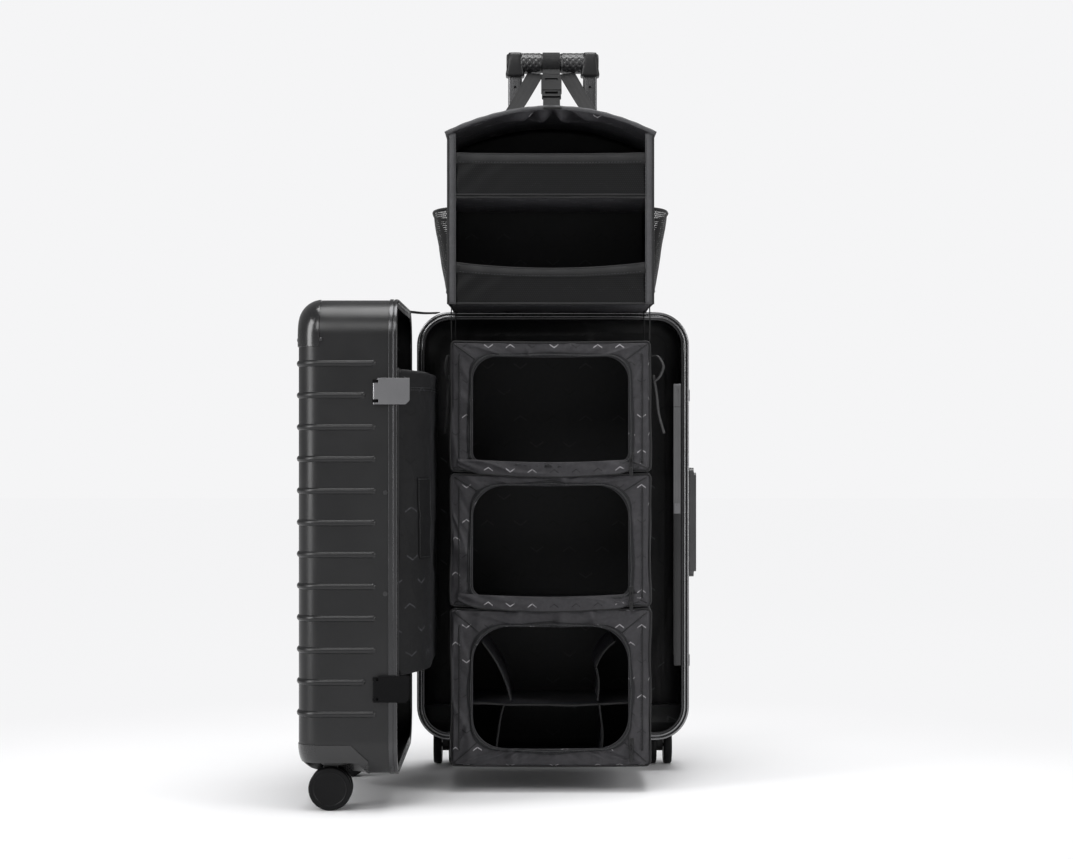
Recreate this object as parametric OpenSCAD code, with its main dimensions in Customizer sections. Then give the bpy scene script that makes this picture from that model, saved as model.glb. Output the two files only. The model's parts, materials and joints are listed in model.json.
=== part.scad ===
// Hard two-half suitcase on spinner wheels, standing open at a right angle,
// with a hanging organiser drawn up on its telescopic handle.
// X runs across the back half, Y runs from its rim into it, Z is up from the floor.

/* [Case] */
// Width of one half seen from the front
case_w = 380; // [350:1:400]
// Height of the shells without the wheels
shell_h = 600; // [570:1:640]
// Height of the shells above the floor
lift = 45; // [43:1:50]
// Depth of one half from its rim to its broad face
half_d = 126; // [122:1:140]
// Thickness of the moulded shell
shell_t = 2.5; // [2:0.1:3]
// Corner radius seen from the front
corner_r = 46; // [40:1:56]
// Radius of the edge round the broad face
edge_r = 30; // [22:1:34]

/* [Ribs] */
// Number of ribs on each shell
rib_count = 12; // [4:1:12]
// Distance from one rib to the next
rib_pitch = 40; // [34:1:40]
// Height of the lowest rib above the lower edge of the shell
rib_low = 79; // [74:1:84]
// Width of a rib
rib_w = 8; // [6:0.5:12]
// How far a rib stands proud
rib_h = 2.5; // [1.5:0.1:3.5]
// Distance from the rim to the end of a rib
rib_end = 27; // [24:1:36]
// Distance from the rim to the end of the two short ribs
rib_end_short = 40; // [38:1:50]

/* [Rim] */
// Depth of the frame on the outside of the shell
frame_d = 11; // [9:0.5:14]
// Thickness of the frame's outer and inner leg
frame_t = 1.5; // [1:0.1:2]
// Width of the bezel seen from the front
bezel_w = 10; // [8:0.5:12]
// Thickness of the bezel
bezel_t = 2.7; // [2:0.1:3]
// Thickness of the lining
lining_t = 1.2; // [0.8:0.1:2]
// Depth of the back half's lining
back_lining_d = 80; // [70:1:82]
// Depth of the front half's lining
front_lining_d = 118; // [100:1:119]

/* [Hinge] */
// Distance from the side of the shell to the hinge axis
hinge_out = 7.7; // [7.5:0.1:9]
// Length of one hinge
hinge_len = 48; // [36:1:60]
// Radius of the hinge knuckle
knuckle_r = 4; // [3.5:0.1:4.5]
// Radius of the hinge pin
pin_r = 1.5; // [1:0.1:2]
// Thickness of a hinge leaf
leaf_t = 1.6; // [1.2:0.1:2]
// Distance from the middle hinge to the next one
hinge_pitch = 140; // [120:1:150]

/* [Latches] */
// Height of the upper latch
latch_high_z = 529; // [520:1:540]
// Height of the lower latch
latch_low_z = 156; // [150:1:162]
// Height of one latch plate
latch_h = 33; // [28:1:36]
// Length of one latch plate across the rim
latch_l = 46; // [44:1:50]
// How far a latch plate reaches past the rim
latch_over = 15.7; // [14:0.1:18]
// Thickness of a latch plate
latch_t = 4; // [3:0.1:5]
// Radius of a latch pin
latch_pin_r = 1.5; // [1:0.1:1.8]

/* [Wheels] */
// Diameter of a wheel
wheel_dia = 55; // [50:1:58]
// Width of one wheel of a pair
wheel_t = 12; // [10:0.5:13]
// Gap between the wheels of a pair
wheel_gap = 10; // [9:0.5:11]
// Distance from the swivel axis back to the axle
wheel_trail = 5; // [3:0.5:6]
// Radius of the axle
axle_r = 3; // [2.5:0.1:3.5]
// Distance from the side of the shell to the swivel axis
swivel_side = 36; // [35:0.5:40]
// Distance from the broad face to the swivel axis
swivel_face = 45; // [44:0.5:48]
// Height of the housing above the lower edge of the shell
housing_h = 40; // [38:1:46]

/* [Handle] */
// Height of the middle of the grip above the floor
grip_z = 1010; // [980:1:1040]
// Radius of the grip
grip_r = 13.8; // [13:0.1:17]
// Length of the grip
grip_len = 133; // [131:1:145]
// Distance between the two posts
post_pitch = 108; // [100:1:110]
// Distance from the rim to the posts
post_y = 95; // [94:0.5:98]
// Width of the upper posts
post_w = 20; // [16:0.5:22]
// Depth of the upper posts
post_d = 12; // [10:0.5:13]
// Wall of every tube
tube_t = 1.5; // [1:0.1:2]

/* [Organiser] */
// Width of the organiser
org_w = 273; // [255:1:290]
// Distance of the organiser's front from the rim
org_front = 205; // [190:1:215]
// How far the top compartments reach back over the shell
org_rear = 25; // [15:1:60]
// Height of the bottom shelf
base_z = 650; // [649:0.5:656]
// Height of the upper shelf
shelf_z = 791; // [760:1:800]
// Height of the roof at its two sides
eaves_z = 873; // [860:1:880]
// Height of the roof at its middle
ridge_z = 906; // [890:1:912]
// Thickness of the stiffened fabric
cloth_t = 3; // [2:0.1:4]
// Height of the mesh on the upper shelf
upper_mesh_h = 56; // [40:1:60]
// Height of the mesh on the bottom shelf
lower_mesh_h = 52; // [40:1:60]

/* [Cubes] */
// Height of the top of the upper cube
cube_top = 600; // [590:1:610]
// Height of the upper cube
upper_h = 175.7; // [170:0.1:180]
// Height of the middle cube
middle_h = 178.7; // [170:0.1:182]
// Height of the lower cube
lower_h = 211.7; // [200:0.1:214]
// Width of the cubes
cube_w = 267; // [255:1:280]
// Width of the openings
mouth_w = 208; // [190:1:214]
// Corner radius of the openings
mouth_r = 24; // [16:1:30]
// Width of the webbing
webbing_w = 25; // [20:1:30]
// Thickness of the webbing
webbing_t = 1.6; // [1.2:0.1:2]

/* [Side handle] */
// Length of the side handle
side_l = 154; // [140:1:160]
// Height of the middle of the side handle
side_z = 350; // [340:1:360]
// How far the side handle pulls out
side_pull = 9; // [5:0.5:9]

/* [Hidden] */
$fn = 48;
// Gap between soft pieces, or soft and hard ones, that touch in use
soft_gap = 0.3;
// Running clearance of a pin in its bore
pin_gap = 0.05;
// Gap left at each end of a sliding bar
end_gap = 0.4;

// Height of the middle of the shells
mid_z = lift + shell_h / 2;
shell_top = lift + shell_h;
// The hinge axis stands beside the left side of the back half
hinge_x = -(case_w / 2 + hinge_out);
// Circle of a rib's section and how deep its centre lies below the shell's face
rib_r = (pow(rib_w / 2, 2) + pow(rib_h, 2)) / (2 * rib_h);
rib_sink = rib_r - rib_h;
// Inset of the lining from the outside of the shell
lining_in = shell_t + frame_t + soft_gap;
// Corner blocks that hold the wheels
swivel_x = case_w / 2 - swivel_side;
swivel_y = half_d - swivel_face;
wheel_r = wheel_dia / 2;
sweep_gap = 4.5;
sweep_r = sqrt(pow(wheel_r + wheel_trail, 2) + pow(wheel_t + wheel_gap / 2, 2)) + sweep_gap;
block_wall = 2.6;
block_x = swivel_x - sweep_r - block_wall;
block_y = swivel_y - sweep_r - block_wall;
skin = 1;
well_top = wheel_dia + 6.5;
stem_r = 5;
// Corner guards
guard_h = 60;
guard_d = 28;
guard_w = 38;
guard_t = 1.4;
// Telescopic tubes, each one running in the next
slide_gap = 0.08;
mid_w = post_w + 2 * (tube_t + slide_gap);
mid_d = post_d + 2 * (tube_t + slide_gap);
sleeve_w = mid_w + 2 * (tube_t + slide_gap);
sleeve_d = mid_d + 2 * (tube_t + slide_gap);
tube_r = 3;
sleeve_lift = 62;
sleeve_foot = lift + sleeve_lift;
bezel_top_h = 4;
mid_top = (shell_top + grip_z) / 2;
overlap = 60;
// Organiser
org_x = -4.5;
org_left = org_x - org_w / 2;
org_right = org_x + org_w / 2;
strap_x = -2;
cube_back = -soft_gap;
middle_top = cube_top - upper_h;
lower_top = middle_top - middle_h;
cube_foot = lower_top - lower_h;

// Stands a shape upright that is drawn with its rim on the XY plane, its top
// along Y and its depth along Z, so that its depth goes back from the rim
module stand() translate([0, 0, mid_z]) mirror([0, 1, 0]) rotate([90, 0, 0]) children();

// Swings the closed front half open by a right angle about the hinge axis
module swing_open() translate([hinge_x, 0, 0]) rotate([0, 0, -90]) translate([-hinge_x, 0, 0]) children();

// Puts a shape of the back half where its twin on the front half lies at rest
module front_twin() swing_open() mirror([0, 1, 0]) children();

// What is left of a square outside a quarter circle
module corner_waste(r) difference() {
  square(r + 1);
  circle(r);
}

// Section of one side: width a, depth d, its far corner rounded
module side_section(a, d, r) difference() {
  square([a, d]);
  translate([a - r, d - r]) corner_waste(r);
}

// Box with an open rim at Z 0, rounded corners and a rounded far edge
module pillow(w, h, d, rc, re) {
  rotate([90, 0, 90]) linear_extrude(w - 2 * rc, center = true)
    for (m = [0, 1]) mirror([m, 0]) side_section(h / 2, d, re);
  for (s = [0, 1]) mirror([s, 0, 0]) translate([w / 2 - rc, 0, 0])
    rotate([90, 0, 0]) linear_extrude(h - 2 * rc, center = true) side_section(rc, d, re);
  for (s = [0, 1], t = [0, 1]) mirror([s, 0, 0]) mirror([0, t, 0])
    translate([w / 2 - rc, h / 2 - rc, 0]) rotate_extrude(angle = 90) side_section(rc, d, re);
}

// The outer form of a half, moved out by o
module outer_form(o = 0) pillow(case_w + 2 * o, shell_h + 2 * o, half_d + o, corner_r + o, edge_r + o);

// The hollow inside the form, moved in by o, open past the rim
module inner_form(o, d, re) translate([0, 0, -1])
  pillow(case_w - 2 * o, shell_h - 2 * o, d + 1, corner_r - o, re);

// Round-cornered frame between two insets of the outline, from depth z0 to z1
module outline_band(o_out, o_in, z0, z1) translate([0, 0, z0]) linear_extrude(z1 - z0) difference() {
  outline(o_out);
  outline(-o_in);
}

module outline(o) {
  w = case_w + 2 * o;
  h = shell_h + 2 * o;
  r = corner_r + o;
  square([w - 2 * r, h], center = true);
  square([w, h - 2 * r], center = true);
  for (x = [-1, 1], y = [-1, 1]) translate([x * (w / 2 - r), y * (h / 2 - r)]) circle(r);
}

// One rib: up both sides, round the edges and across the broad face
module rib(from) {
  reach = half_d - edge_r - from;
  translate([0, 0, half_d - rib_sink]) rotate([0, 90, 0])
    cylinder(r = rib_r, h = case_w - 2 * edge_r, center = true);
  for (s = [0, 1]) mirror([s, 0, 0]) {
    translate([case_w / 2 - edge_r, 0, half_d - edge_r]) rotate([90, 0, 0])
      rotate_extrude(angle = 90) translate([edge_r - rib_sink, 0]) circle(rib_r);
    translate([case_w / 2 - rib_sink, 0, from]) cylinder(r = rib_r, h = reach);
    translate([case_w / 2 - rib_sink, 0, from]) sphere(rib_r - 0.05);
  }
}

// The ribs whose middle lies above a height
module ribs_above(low) for (i = [0 : rib_count - 1]) {
  z = rib_low - shell_h / 2 + i * rib_pitch;
  if (z > low) translate([0, z, 0]) rib(i == 1 || i == rib_count - 2 ? rib_end_short : rib_end);
}

// The blocks at the two lower corners that the wheel housings fill
module housing_blocks(grow = 0) for (s = [0, 1]) mirror([s, 0, 0])
  translate([block_x - grow, -shell_h / 2 - lift, block_y - grow])
    cube([case_w, housing_h + lift + grow, half_d]);

// Moulded shell with its ribs
module shell() difference() {
  union() {
    outer_form();
    ribs_above(-shell_h);
  }
  inner_form(shell_t, half_d - shell_t, edge_r - shell_t);
  translate([-case_w, -shell_h, -half_d]) cube([2 * case_w, 2 * shell_h, half_d + bezel_t]);
  housing_blocks();
}

// Frame round the rim: an outer leg, a bezel and an inner leg
module rim_frame() {
  outline_band(frame_t, 0, 0.5, frame_d);
  outline_band(0.5, bezel_w, 0, bezel_t);
  outline_band(-shell_t, shell_t + frame_t, bezel_t, frame_d);
}

// Thin tub behind the bezel
module lining(d) difference() {
  translate([0, 0, bezel_t + soft_gap])
    pillow(case_w - 2 * lining_in, shell_h - 2 * lining_in, d, corner_r - lining_in, edge_r - lining_in);
  inner_form(lining_in + lining_t, d + bezel_t + soft_gap - lining_t, edge_r - lining_in - lining_t);
  housing_blocks(soft_gap);
}

// Glossy caps over the two upper corners of the broad face
module corner_guards() for (s = [0, 1]) mirror([s, 0, 0]) difference() {
  intersection() {
    outer_form(guard_t);
    translate([case_w / 2 - guard_w, shell_h / 2 - guard_h, half_d - guard_d])
      cube([2 * guard_w, 2 * guard_h, 2 * guard_d]);
  }
  outer_form();
  ribs_above(shell_h / 2 - guard_h - rib_w);
}

// Housings over the wheels, each with a round well, two arches and a stem bore
module wheel_housings() difference() {
  intersection() {
    outer_form(skin);
    housing_blocks();
  }
  for (s = [0, 1]) mirror([s, 0, 0]) translate([swivel_x, -shell_h / 2 - lift, swivel_y])
    rotate([-90, 0, 0]) {
      translate([0, 0, -1]) cylinder(r = sweep_r, h = well_top + 1);
      cylinder(r = stem_r + pin_gap, h = well_top + 14);
    }
  for (s = [0, 1]) mirror([s, 0, 0]) translate([swivel_x, -shell_h / 2 - lift + wheel_r, swivel_y]) {
    rotate([0, 90, 0]) cylinder(r = wheel_r + 3.5, h = case_w);
    cylinder(r = wheel_r + 3.5, h = case_w);
  }
}

// Box from one corner to the opposite one
module block(a, b) translate(a) cube(b - a);

// Upright bar with round corners, its middle at the origin of X and Y
module round_bar(w, d, r, z0, z1) translate([0, 0, z0]) linear_extrude(z1 - z0) {
  square([w - 2 * r, d], center = true);
  square([w, d - 2 * r], center = true);
  for (x = [-1, 1], y = [-1, 1]) translate([x * (w / 2 - r), y * (d / 2 - r)]) circle(r);
}

module round_tube(w, d, r, t, z0, z1) difference() {
  round_bar(w, d, r, z0, z1);
  round_bar(w - 2 * t, d - 2 * t, r - t / 2, z0 - 1, z1 + 1);
}

module both_posts() for (x = [-1, 1]) translate([x * post_pitch / 2, post_y, 0]) children();

// Shells, frames, linings, guards and housings of the two halves
bezel_l = post_pitch + sleeve_w + 18;
bezel_d = sleeve_d + 9;
bezel_foot = shell_top - 8;
module bezel_form(grow, z0, z1) translate([0, post_y, 0])
  round_bar(bezel_l + 2 * grow, bezel_d + 2 * grow, 6 + grow, z0, z1);

base_low = case_w / 2 + rib_h + 0.1;
base_top = case_w / 2 + 9;
leg_foot = base_top - side_pull - 2.4;
cup_x = leg_foot - 1.6;
cup_half = (side_l - 22) / 2;
side_y = 28;
leg_w = 8;
leg_d = 16;
module side_cups() for (s = [-1, 1]) translate([cup_x, side_y, side_z + s * cup_half])
  translate([0, -leg_d / 2 - 1, -leg_w / 2 - 1]) cube([base_low - cup_x + 1, leg_d + 2, leg_w + 2]);

module back_shell() color("#46484c") difference() {
  stand() shell();
  bezel_form(0, bezel_foot - 1, shell_top + 5);
  side_cups();
}
module back_rim_frame() color("#84878c") stand() rim_frame();
module back_lining() color("#1e1f22") stand() lining(back_lining_d);
module back_corner_guards() color("#2b2c2f") stand() corner_guards();
module back_wheel_housings() color("#2b2c2f") stand() wheel_housings();
module front_shell() color("#46484c") front_twin() stand() shell();
module front_rim_frame() color("#84878c") front_twin() stand() rim_frame();
module front_lining() color("#1e1f22") front_twin() stand() lining(front_lining_d);
module front_corner_guards() color("#2b2c2f") front_twin() stand() corner_guards();
module front_wheel_housings() color("#2b2c2f") front_twin() stand() wheel_housings();

// Rivets beside the frame, two on each side wall, clear of hinges, latches and handle
rivet_r = 3;
rivet_h = 1;
rivet_in = frame_d + rivet_r + 1;
hinge_side_rivets = [294, 434];
handle_side_rivets = [250, 450];
latch_side_rivets = [275, 402];
module rivets(s, heights) color("#b8bcc2") mirror([s, 0, 0]) for (z = heights)
  translate([case_w / 2, rivet_in, z]) rotate([0, 90, 0]) cylinder(r = rivet_r, h = rivet_h);
module back_rivets() {
  rivets(0, handle_side_rivets);
  rivets(1, hinge_side_rivets);
}
module front_rivets() front_twin() {
  rivets(0, latch_side_rivets);
  rivets(1, hinge_side_rivets);
}

// Hinges: a leaf on each half, knuckles of a third of the length, one pin each
knuckle_l = hinge_len / 3;
knuckle_gap = 0.4;
module at_hinges() for (i = [-1 : 1]) translate([0, 0, side_z + 14 + i * hinge_pitch]) children();
leaf_in = case_w / 2 + frame_t;
// Reach of a leaf over the shell, just short of the ends of the ribs
leaf_d = rib_end - rib_r - soft_gap;
module leaf() {
  outer = leaf_in + leaf_t;
  block([-outer, 1, -hinge_len / 2], [-leaf_in, frame_d, hinge_len / 2]);
  block([-outer, frame_d, -hinge_len / 2], [-case_w / 2, leaf_d, hinge_len / 2]);
}
module knuckle(z0, z1, arm_y) difference() {
  union() {
    translate([hinge_x, 0, z0]) cylinder(r = knuckle_r, h = z1 - z0);
    block([hinge_x, arm_y, z0], [-leaf_in - 0.2, arm_y + 2.4, z1]);
  }
  translate([hinge_x, 0, z0 - 1]) cylinder(r = pin_r + pin_gap, h = z1 - z0 + 2);
}
module back_hinge_leaves() color("#33353a") at_hinges() {
  leaf();
  knuckle(-hinge_len / 2, -knuckle_l / 2, 1.3);
  knuckle(knuckle_l / 2, hinge_len / 2, 1.3);
}
module front_hinge_leaves() color("#33353a") front_twin() at_hinges() {
  leaf();
  knuckle(-knuckle_l / 2 + knuckle_gap, knuckle_l / 2 - knuckle_gap, 1.3);
}
module hinge_pins() color("#9a9da3") at_hinges() translate([hinge_x, 0, -hinge_len / 2 - 0.6])
  cylinder(r = pin_r, h = hinge_len + 1.2);

// Lock fittings inside the right side of the back rim, with a sliding bar
strip_x = case_w / 2 - bezel_w;
strip_w = 10.4;
strip_low = 164;
strip_high = 545;
strip_t = 5;
bar_w = 4;
bar_t = 2;
bar_travel = 6;
bar_proud = 0.3;
slot_in = 6;
bar_low = strip_low + slot_in + end_gap;
bar_high = strip_high - slot_in - end_gap - bar_travel;
button_z = 370;
button_half = 7;
bar_x = strip_x - strip_w / 2;
catch_y = 9;
catch_t = 1.2;
catch_half = 8;
module lock_fittings() color("#3a3c40") {
  difference() {
    union() {
      block([strip_x - strip_w, 0.3, strip_low], [strip_x - soft_gap, strip_t, strip_high]);
      block([strip_x - strip_w, bezel_t + soft_gap, strip_low], [strip_x + 4, strip_t, strip_high]);
    }
    block([bar_x - bar_w / 2 - slide_gap, -1, strip_low + slot_in],
      [bar_x + bar_w / 2 + slide_gap, bar_t + bar_proud + slide_gap, strip_high - slot_in]);
  }
  for (z = [latch_low_z, latch_high_z])
    block([leaf_in, catch_y - 5, z - catch_half], [leaf_in + catch_t, catch_y + 2, z + catch_half]);
}
module lock_bar() color("#6c6f75") {
  block([bar_x - bar_w / 2, bar_proud, bar_low], [bar_x + bar_w / 2, bar_t + bar_proud, bar_high]);
  block([bar_x - bar_w, -2, button_z - button_half],
    [bar_x + bar_w, soft_gap / 2, button_z + button_half]);
  block([bar_x - 1.5, -1, button_z - button_half + 2], [bar_x + 1.5, 1, button_z + button_half - 2]);
}

// Side handle: a base with two cups let into the shell and a grip on two legs
base_w = 32;
base_r = 8;
base_rise = base_top - base_low;
base_foot_in = 12;
recess_l = side_l - 54;
recess_t = 5;
grip_gap = 0.4;
grip_bar_t = 3.4;
grip_bar_l = side_l - 14;
module at_legs(grow) for (s = [-1, 1]) translate([leg_foot - grow, side_y, side_z + s * cup_half])
  translate([0, -(leg_d + grow) / 2, -(leg_w + grow) / 2]) children();
module side_handle_base() color("#2b2c2f") difference() {
  union() {
    translate([base_low, side_y, side_z]) rotate([0, 90, 0])
      round_bar(side_l, base_w, base_r, 0, base_rise);
    block([case_w / 2, frame_d + frame_t, side_z - side_l / 2 + base_foot_in],
      [base_low, rib_end - rib_r - 1, side_z + side_l / 2 - base_foot_in]);
    side_cups();
  }
  at_legs(grip_gap) cube([side_l, leg_d + grip_gap, leg_w + grip_gap]);
  translate([base_top - recess_t, side_y, side_z]) rotate([0, 90, 0])
    round_bar(recess_l, base_w - base_r, base_r - 2, 0, 2 * recess_t);
}
module side_handle_grip() color("#303236") {
  translate([base_top + soft_gap, side_y, side_z]) rotate([0, 90, 0])
    round_bar(grip_bar_l, leg_d + 4, 6, 0, grip_bar_t);
  at_legs(0) cube([base_top + 1 - leg_foot, leg_d, leg_w]);
}

// Telescopic handle
foot_plate_h = 12;
module trolley_bezel() color("#1c1d20") difference() {
  union() {
    bezel_form(0, bezel_foot, shell_top + bezel_top_h);
    bezel_form(2, shell_top + 0.2, shell_top + bezel_top_h - 1);
  }
  both_posts()
    round_bar(mid_w + 2 * slide_gap, mid_d + 2 * slide_gap, tube_r, bezel_foot - 1, shell_top + 9);
}
module trolley_sleeves() color("#6a6d73") {
  both_posts() round_tube(sleeve_w, sleeve_d, tube_r, tube_t, sleeve_foot, bezel_foot);
  translate([0, post_y, 0]) difference() {
    block([-post_pitch / 2 - 24, -sleeve_d / 2, sleeve_foot - foot_plate_h],
      [post_pitch / 2 + 24, half_d - shell_t - post_y, sleeve_foot]);
    both_feet() round_bar(post_w - 6, post_d - 4, 2, sleeve_foot - foot_plate_h - 1, sleeve_foot + 1);
  }
}
module both_feet() for (x = [-1, 1]) translate([x * post_pitch / 2, 0, 0]) children();
module middle_tubes() color("#7b7e84") both_posts() {
  round_tube(mid_w, mid_d, tube_r - 0.2, tube_t, shell_top - overlap, mid_top);
}
tube_top = grip_z - 8;
module grip_tubes() color("#8f9298") both_posts() difference() {
  round_tube(post_w, post_d, tube_r - 0.4, tube_t, mid_top - overlap, tube_top);
  translate([0, 0, grip_z - 35]) rotate([90, 0, 0]) cylinder(r = 2, h = post_d);
}

// Grip: a turned bar with two brackets that take the posts
bracket_w = post_w + 5;
bracket_d = post_d + 6;
module grip_section() difference() {
  square([grip_r, grip_len]);
  translate([grip_r - 3, grip_len - 3]) corner_waste(3);
  translate([grip_r - 3, 3]) mirror([0, 1]) corner_waste(3);
}
button_x = -30;
button_l = 22;
button_w = 9;
button_in = 8;
button_out = 1.6;
button_travel = 3;
module grip_handle() color("#2a2b2e") difference() {
  union() {
    translate([-grip_len / 2, post_y, grip_z]) rotate([0, 90, 0]) rotate_extrude() grip_section();
    both_posts() round_bar(bracket_w, bracket_d, 4, grip_z - grip_r - 6, grip_z);
  }
  both_posts() round_bar(post_w + 0.02, post_d + 0.02, tube_r - 0.4, grip_z - 40, tube_top + 0.02);
  at_button() round_bar(button_l + 2 * soft_gap, button_w + 2 * soft_gap, 3,
    grip_r - button_in - button_travel - end_gap, grip_r + 1);
}
// The button is let into the rear of the grip
module at_button() translate([button_x, post_y, grip_z]) rotate([-90, 0, 0]) children();
module release_button() color("#6a6d73") at_button()
  round_bar(button_l, button_w, 2.8, grip_r - button_in, grip_r + button_out);

// Hanging strap: a loop round the grip, a side-release buckle and a tail to the roof
anchor_y = -41;
webbing_top = 25.6;
webbing_foot = 69;
strap_foot = ridge_z + cloth_t + webbing_t / 2 + soft_gap;
strap_angle = atan2(grip_z - strap_foot, post_y - anchor_y);
strap_reach = norm([post_y - anchor_y, grip_z - strap_foot]);
buckle_at = 43;
buckle_w = 29;
buckle_l = 42;
buckle_t = 8;
prong_l = 17;
// The strap runs on a little narrower than the loop round the grip
tail_w = webbing_w - 1;
module along_strap() translate([strap_x, post_y, grip_z]) rotate([strap_angle, 0, 0]) children();
module hanger_strap() color("#17181a") {
  translate([strap_x - webbing_w / 2, post_y, grip_z]) rotate([0, 90, 0]) difference() {
    cylinder(r = grip_r + soft_gap + webbing_t, h = webbing_w);
    translate([0, 0, -1]) cylinder(r = grip_r + soft_gap, h = webbing_w + 2);
  }
  along_strap() {
    block([-tail_w / 2, -buckle_at, -webbing_t], [tail_w / 2, -grip_r - 1, webbing_t]);
    block([-tail_w / 2, -strap_reach, -webbing_t / 2],
      [tail_w / 2, -buckle_at - buckle_l - prong_l, webbing_t / 2]);
  }
}
module buckle_socket() color("#1d1e20") along_strap() difference() {
  block([-buckle_w / 2, -buckle_at - buckle_l, -buckle_t / 2], [buckle_w / 2, -buckle_at, buckle_t / 2]);
  block([-9, -buckle_at - 16, -buckle_t], [9, -buckle_at - 8, buckle_t]);
}
module buckle_prongs() color("#1d1e20") along_strap() difference() {
  block([-buckle_w / 2 + 1, -buckle_at - buckle_l - prong_l, -buckle_t / 2 + 1],
    [buckle_w / 2 - 1, -buckle_at - buckle_l, buckle_t / 2 - 1]);
  block([-9, -buckle_at - buckle_l - 10, -buckle_t], [9, -buckle_at - buckle_l - 4, buckle_t]);
}
// Two webbing strips from the grip down to the roof
module roof_webbing() color("#17181a") for (s = [-1, 1]) hull() {
  translate([strap_x + s * webbing_top, post_y - 4, grip_z - grip_r - webbing_t - soft_gap])
    cube([webbing_w - 2, 3, webbing_t], center = true);
  at_webbing_foot(strap_x + s * webbing_foot) cube([webbing_w - 2, 3, webbing_t], center = true);
}
// Just over the roof at x, tilted as the roof is there
module at_webbing_foot(x) translate([x, anchor_y, roof_height(x) + cloth_t + webbing_t / 2 + 2 * soft_gap])
  rotate([0, atan(roof_slope(x)), 0]) children();

// Organiser: the top compartments between the roof and the bottom shelf
function roof_height(x) = eaves_z + (ridge_z - eaves_z) * (1 - pow((x - org_x) / (org_w / 2), 2));
// How fast the roof falls at x, to the right of its ridge
function roof_slope(x) = 2 * (ridge_z - eaves_z) * (x - org_x) / pow(org_w / 2, 2);
roof_steps = 20;
roof_xs = [for (i = [0 : roof_steps]) org_left + org_w * i / roof_steps];
piping_r = 2.5;
in_left = org_left + cloth_t + soft_gap;
in_right = org_right - cloth_t - soft_gap;
roof_gap = soft_gap;
module roof_band(t, y0, y1) translate([0, y1, 0]) rotate([90, 0, 0]) linear_extrude(y1 - y0)
  polygon(concat([for (x = roof_xs) [x, roof_height(x)]],
    [for (i = [roof_steps : -1 : 0]) [roof_xs[i], roof_height(roof_xs[i]) + t]]));
module roof_panel() color("#1b1c1f") {
  roof_band(cloth_t, -org_front, org_rear);
  roof_band(2 * cloth_t, -org_front - piping_r, -org_front);
}
module side_panel(x) color("#1b1c1f")
  block([x, -org_front, base_z - cloth_t], [x + cloth_t, org_rear, eaves_z - roof_gap]);
module left_side_panel() side_panel(org_left);
module right_side_panel() side_panel(org_right - cloth_t);
module rear_panel() color("#1b1c1f") translate([0, org_rear, 0]) rotate([90, 0, 0])
  linear_extrude(cloth_t) polygon(concat([[in_right, base_z - cloth_t], [in_left, base_z - cloth_t]],
    [for (x = roof_xs) [min(max(x, in_left), in_right), roof_height(x) - roof_gap]]));
module upper_shelf() color("#1f2023") {
  block([in_left, -org_front, shelf_z - cloth_t], [in_right, org_rear - cloth_t - soft_gap, shelf_z]);
  block([in_left, -org_front, shelf_z - 2 * cloth_t], [in_right, -org_front + cloth_t, shelf_z]);
}
// The bottom shelf ends just behind the lower mesh, which hides its front edge
module bottom_shelf() color("#1f2023") block([in_left, -org_front + mesh_t + soft_gap, base_z - cloth_t],
  [in_right, org_rear - cloth_t - soft_gap, base_z]);
mesh_t = 1.5;
hem_h = 4;
module mesh_strip(z0, z1) color("#2a2b2e") {
  block([in_left, -org_front, z0], [in_right, -org_front + mesh_t, z1 - hem_h]);
  block([in_left, -org_front - mesh_t, z1 - hem_h], [in_right, -org_front + mesh_t, z1]);
}
module upper_mesh() mesh_strip(shelf_z + soft_gap, shelf_z + upper_mesh_h);
module lower_mesh() mesh_strip(base_z - cloth_t, base_z + lower_mesh_h);
// Side pockets: a bowed wall with a bottom on the outside of each side panel
pocket_out = 22;
pocket_low = 666;
pocket_high = 775;
pocket_front = -org_front + 14;
pocket_rear = -18;
module side_pocket() difference() {
  block([0, pocket_front, pocket_low], [pocket_out, pocket_rear, pocket_high]);
  block([-1, pocket_front + 2, pocket_low + 2], [pocket_out - 2, pocket_rear - 2, pocket_high + 1]);
}
module side_mesh_pockets() color("#2a2b2e") {
  translate([org_right + soft_gap, 0, 0]) side_pocket();
  translate([org_left - soft_gap, 0, 0]) mirror([1, 0, 0]) side_pocket();
}

// Cubes: a fabric box whose front has an opening with round upper corners
module rounded_top(w, h, r) {
  translate([-w / 2, 0]) square([w, h - r]);
  translate([-w / 2 + r, 0]) square([w - 2 * r, h]);
  for (x = [-1, 1]) translate([x * (w / 2 - r), h - r]) circle(r);
}
// Lowest and highest line of each opening, from the top of its cube
upper_mouth = [161, 20];
middle_mouth = [163.4, 15];
lower_mouth = [185.8, 23];
module mouth(grow, y0, y1, top, m) translate([org_x, y1, top - m[0] - grow]) rotate([90, 0, 0])
  linear_extrude(y1 - y0) rounded_top(mouth_w + 2 * grow, m[0] - m[1] + 2 * grow, mouth_r + grow);
cube_r = 7;
module cube_bag(top, h, m) color("#1d1e21") difference() {
  translate([org_x, (cube_back - org_front) / 2, 0])
    round_bar(cube_w, cube_back + org_front, cube_r, top - h, top - soft_gap);
  block([org_x - cube_w / 2 + cloth_t, -org_front + cloth_t, top - h + cloth_t],
    [org_x + cube_w / 2 - cloth_t, cube_back - cloth_t, top - soft_gap - cloth_t]);
  mouth(0, -org_front - 1, -org_front + cloth_t + 1, top, m);
}
module upper_cube() cube_bag(cube_top, upper_h, upper_mouth);
module middle_cube() cube_bag(middle_top, middle_h, middle_mouth);
module lower_cube() cube_bag(lower_top, lower_h, lower_mouth);

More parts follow.
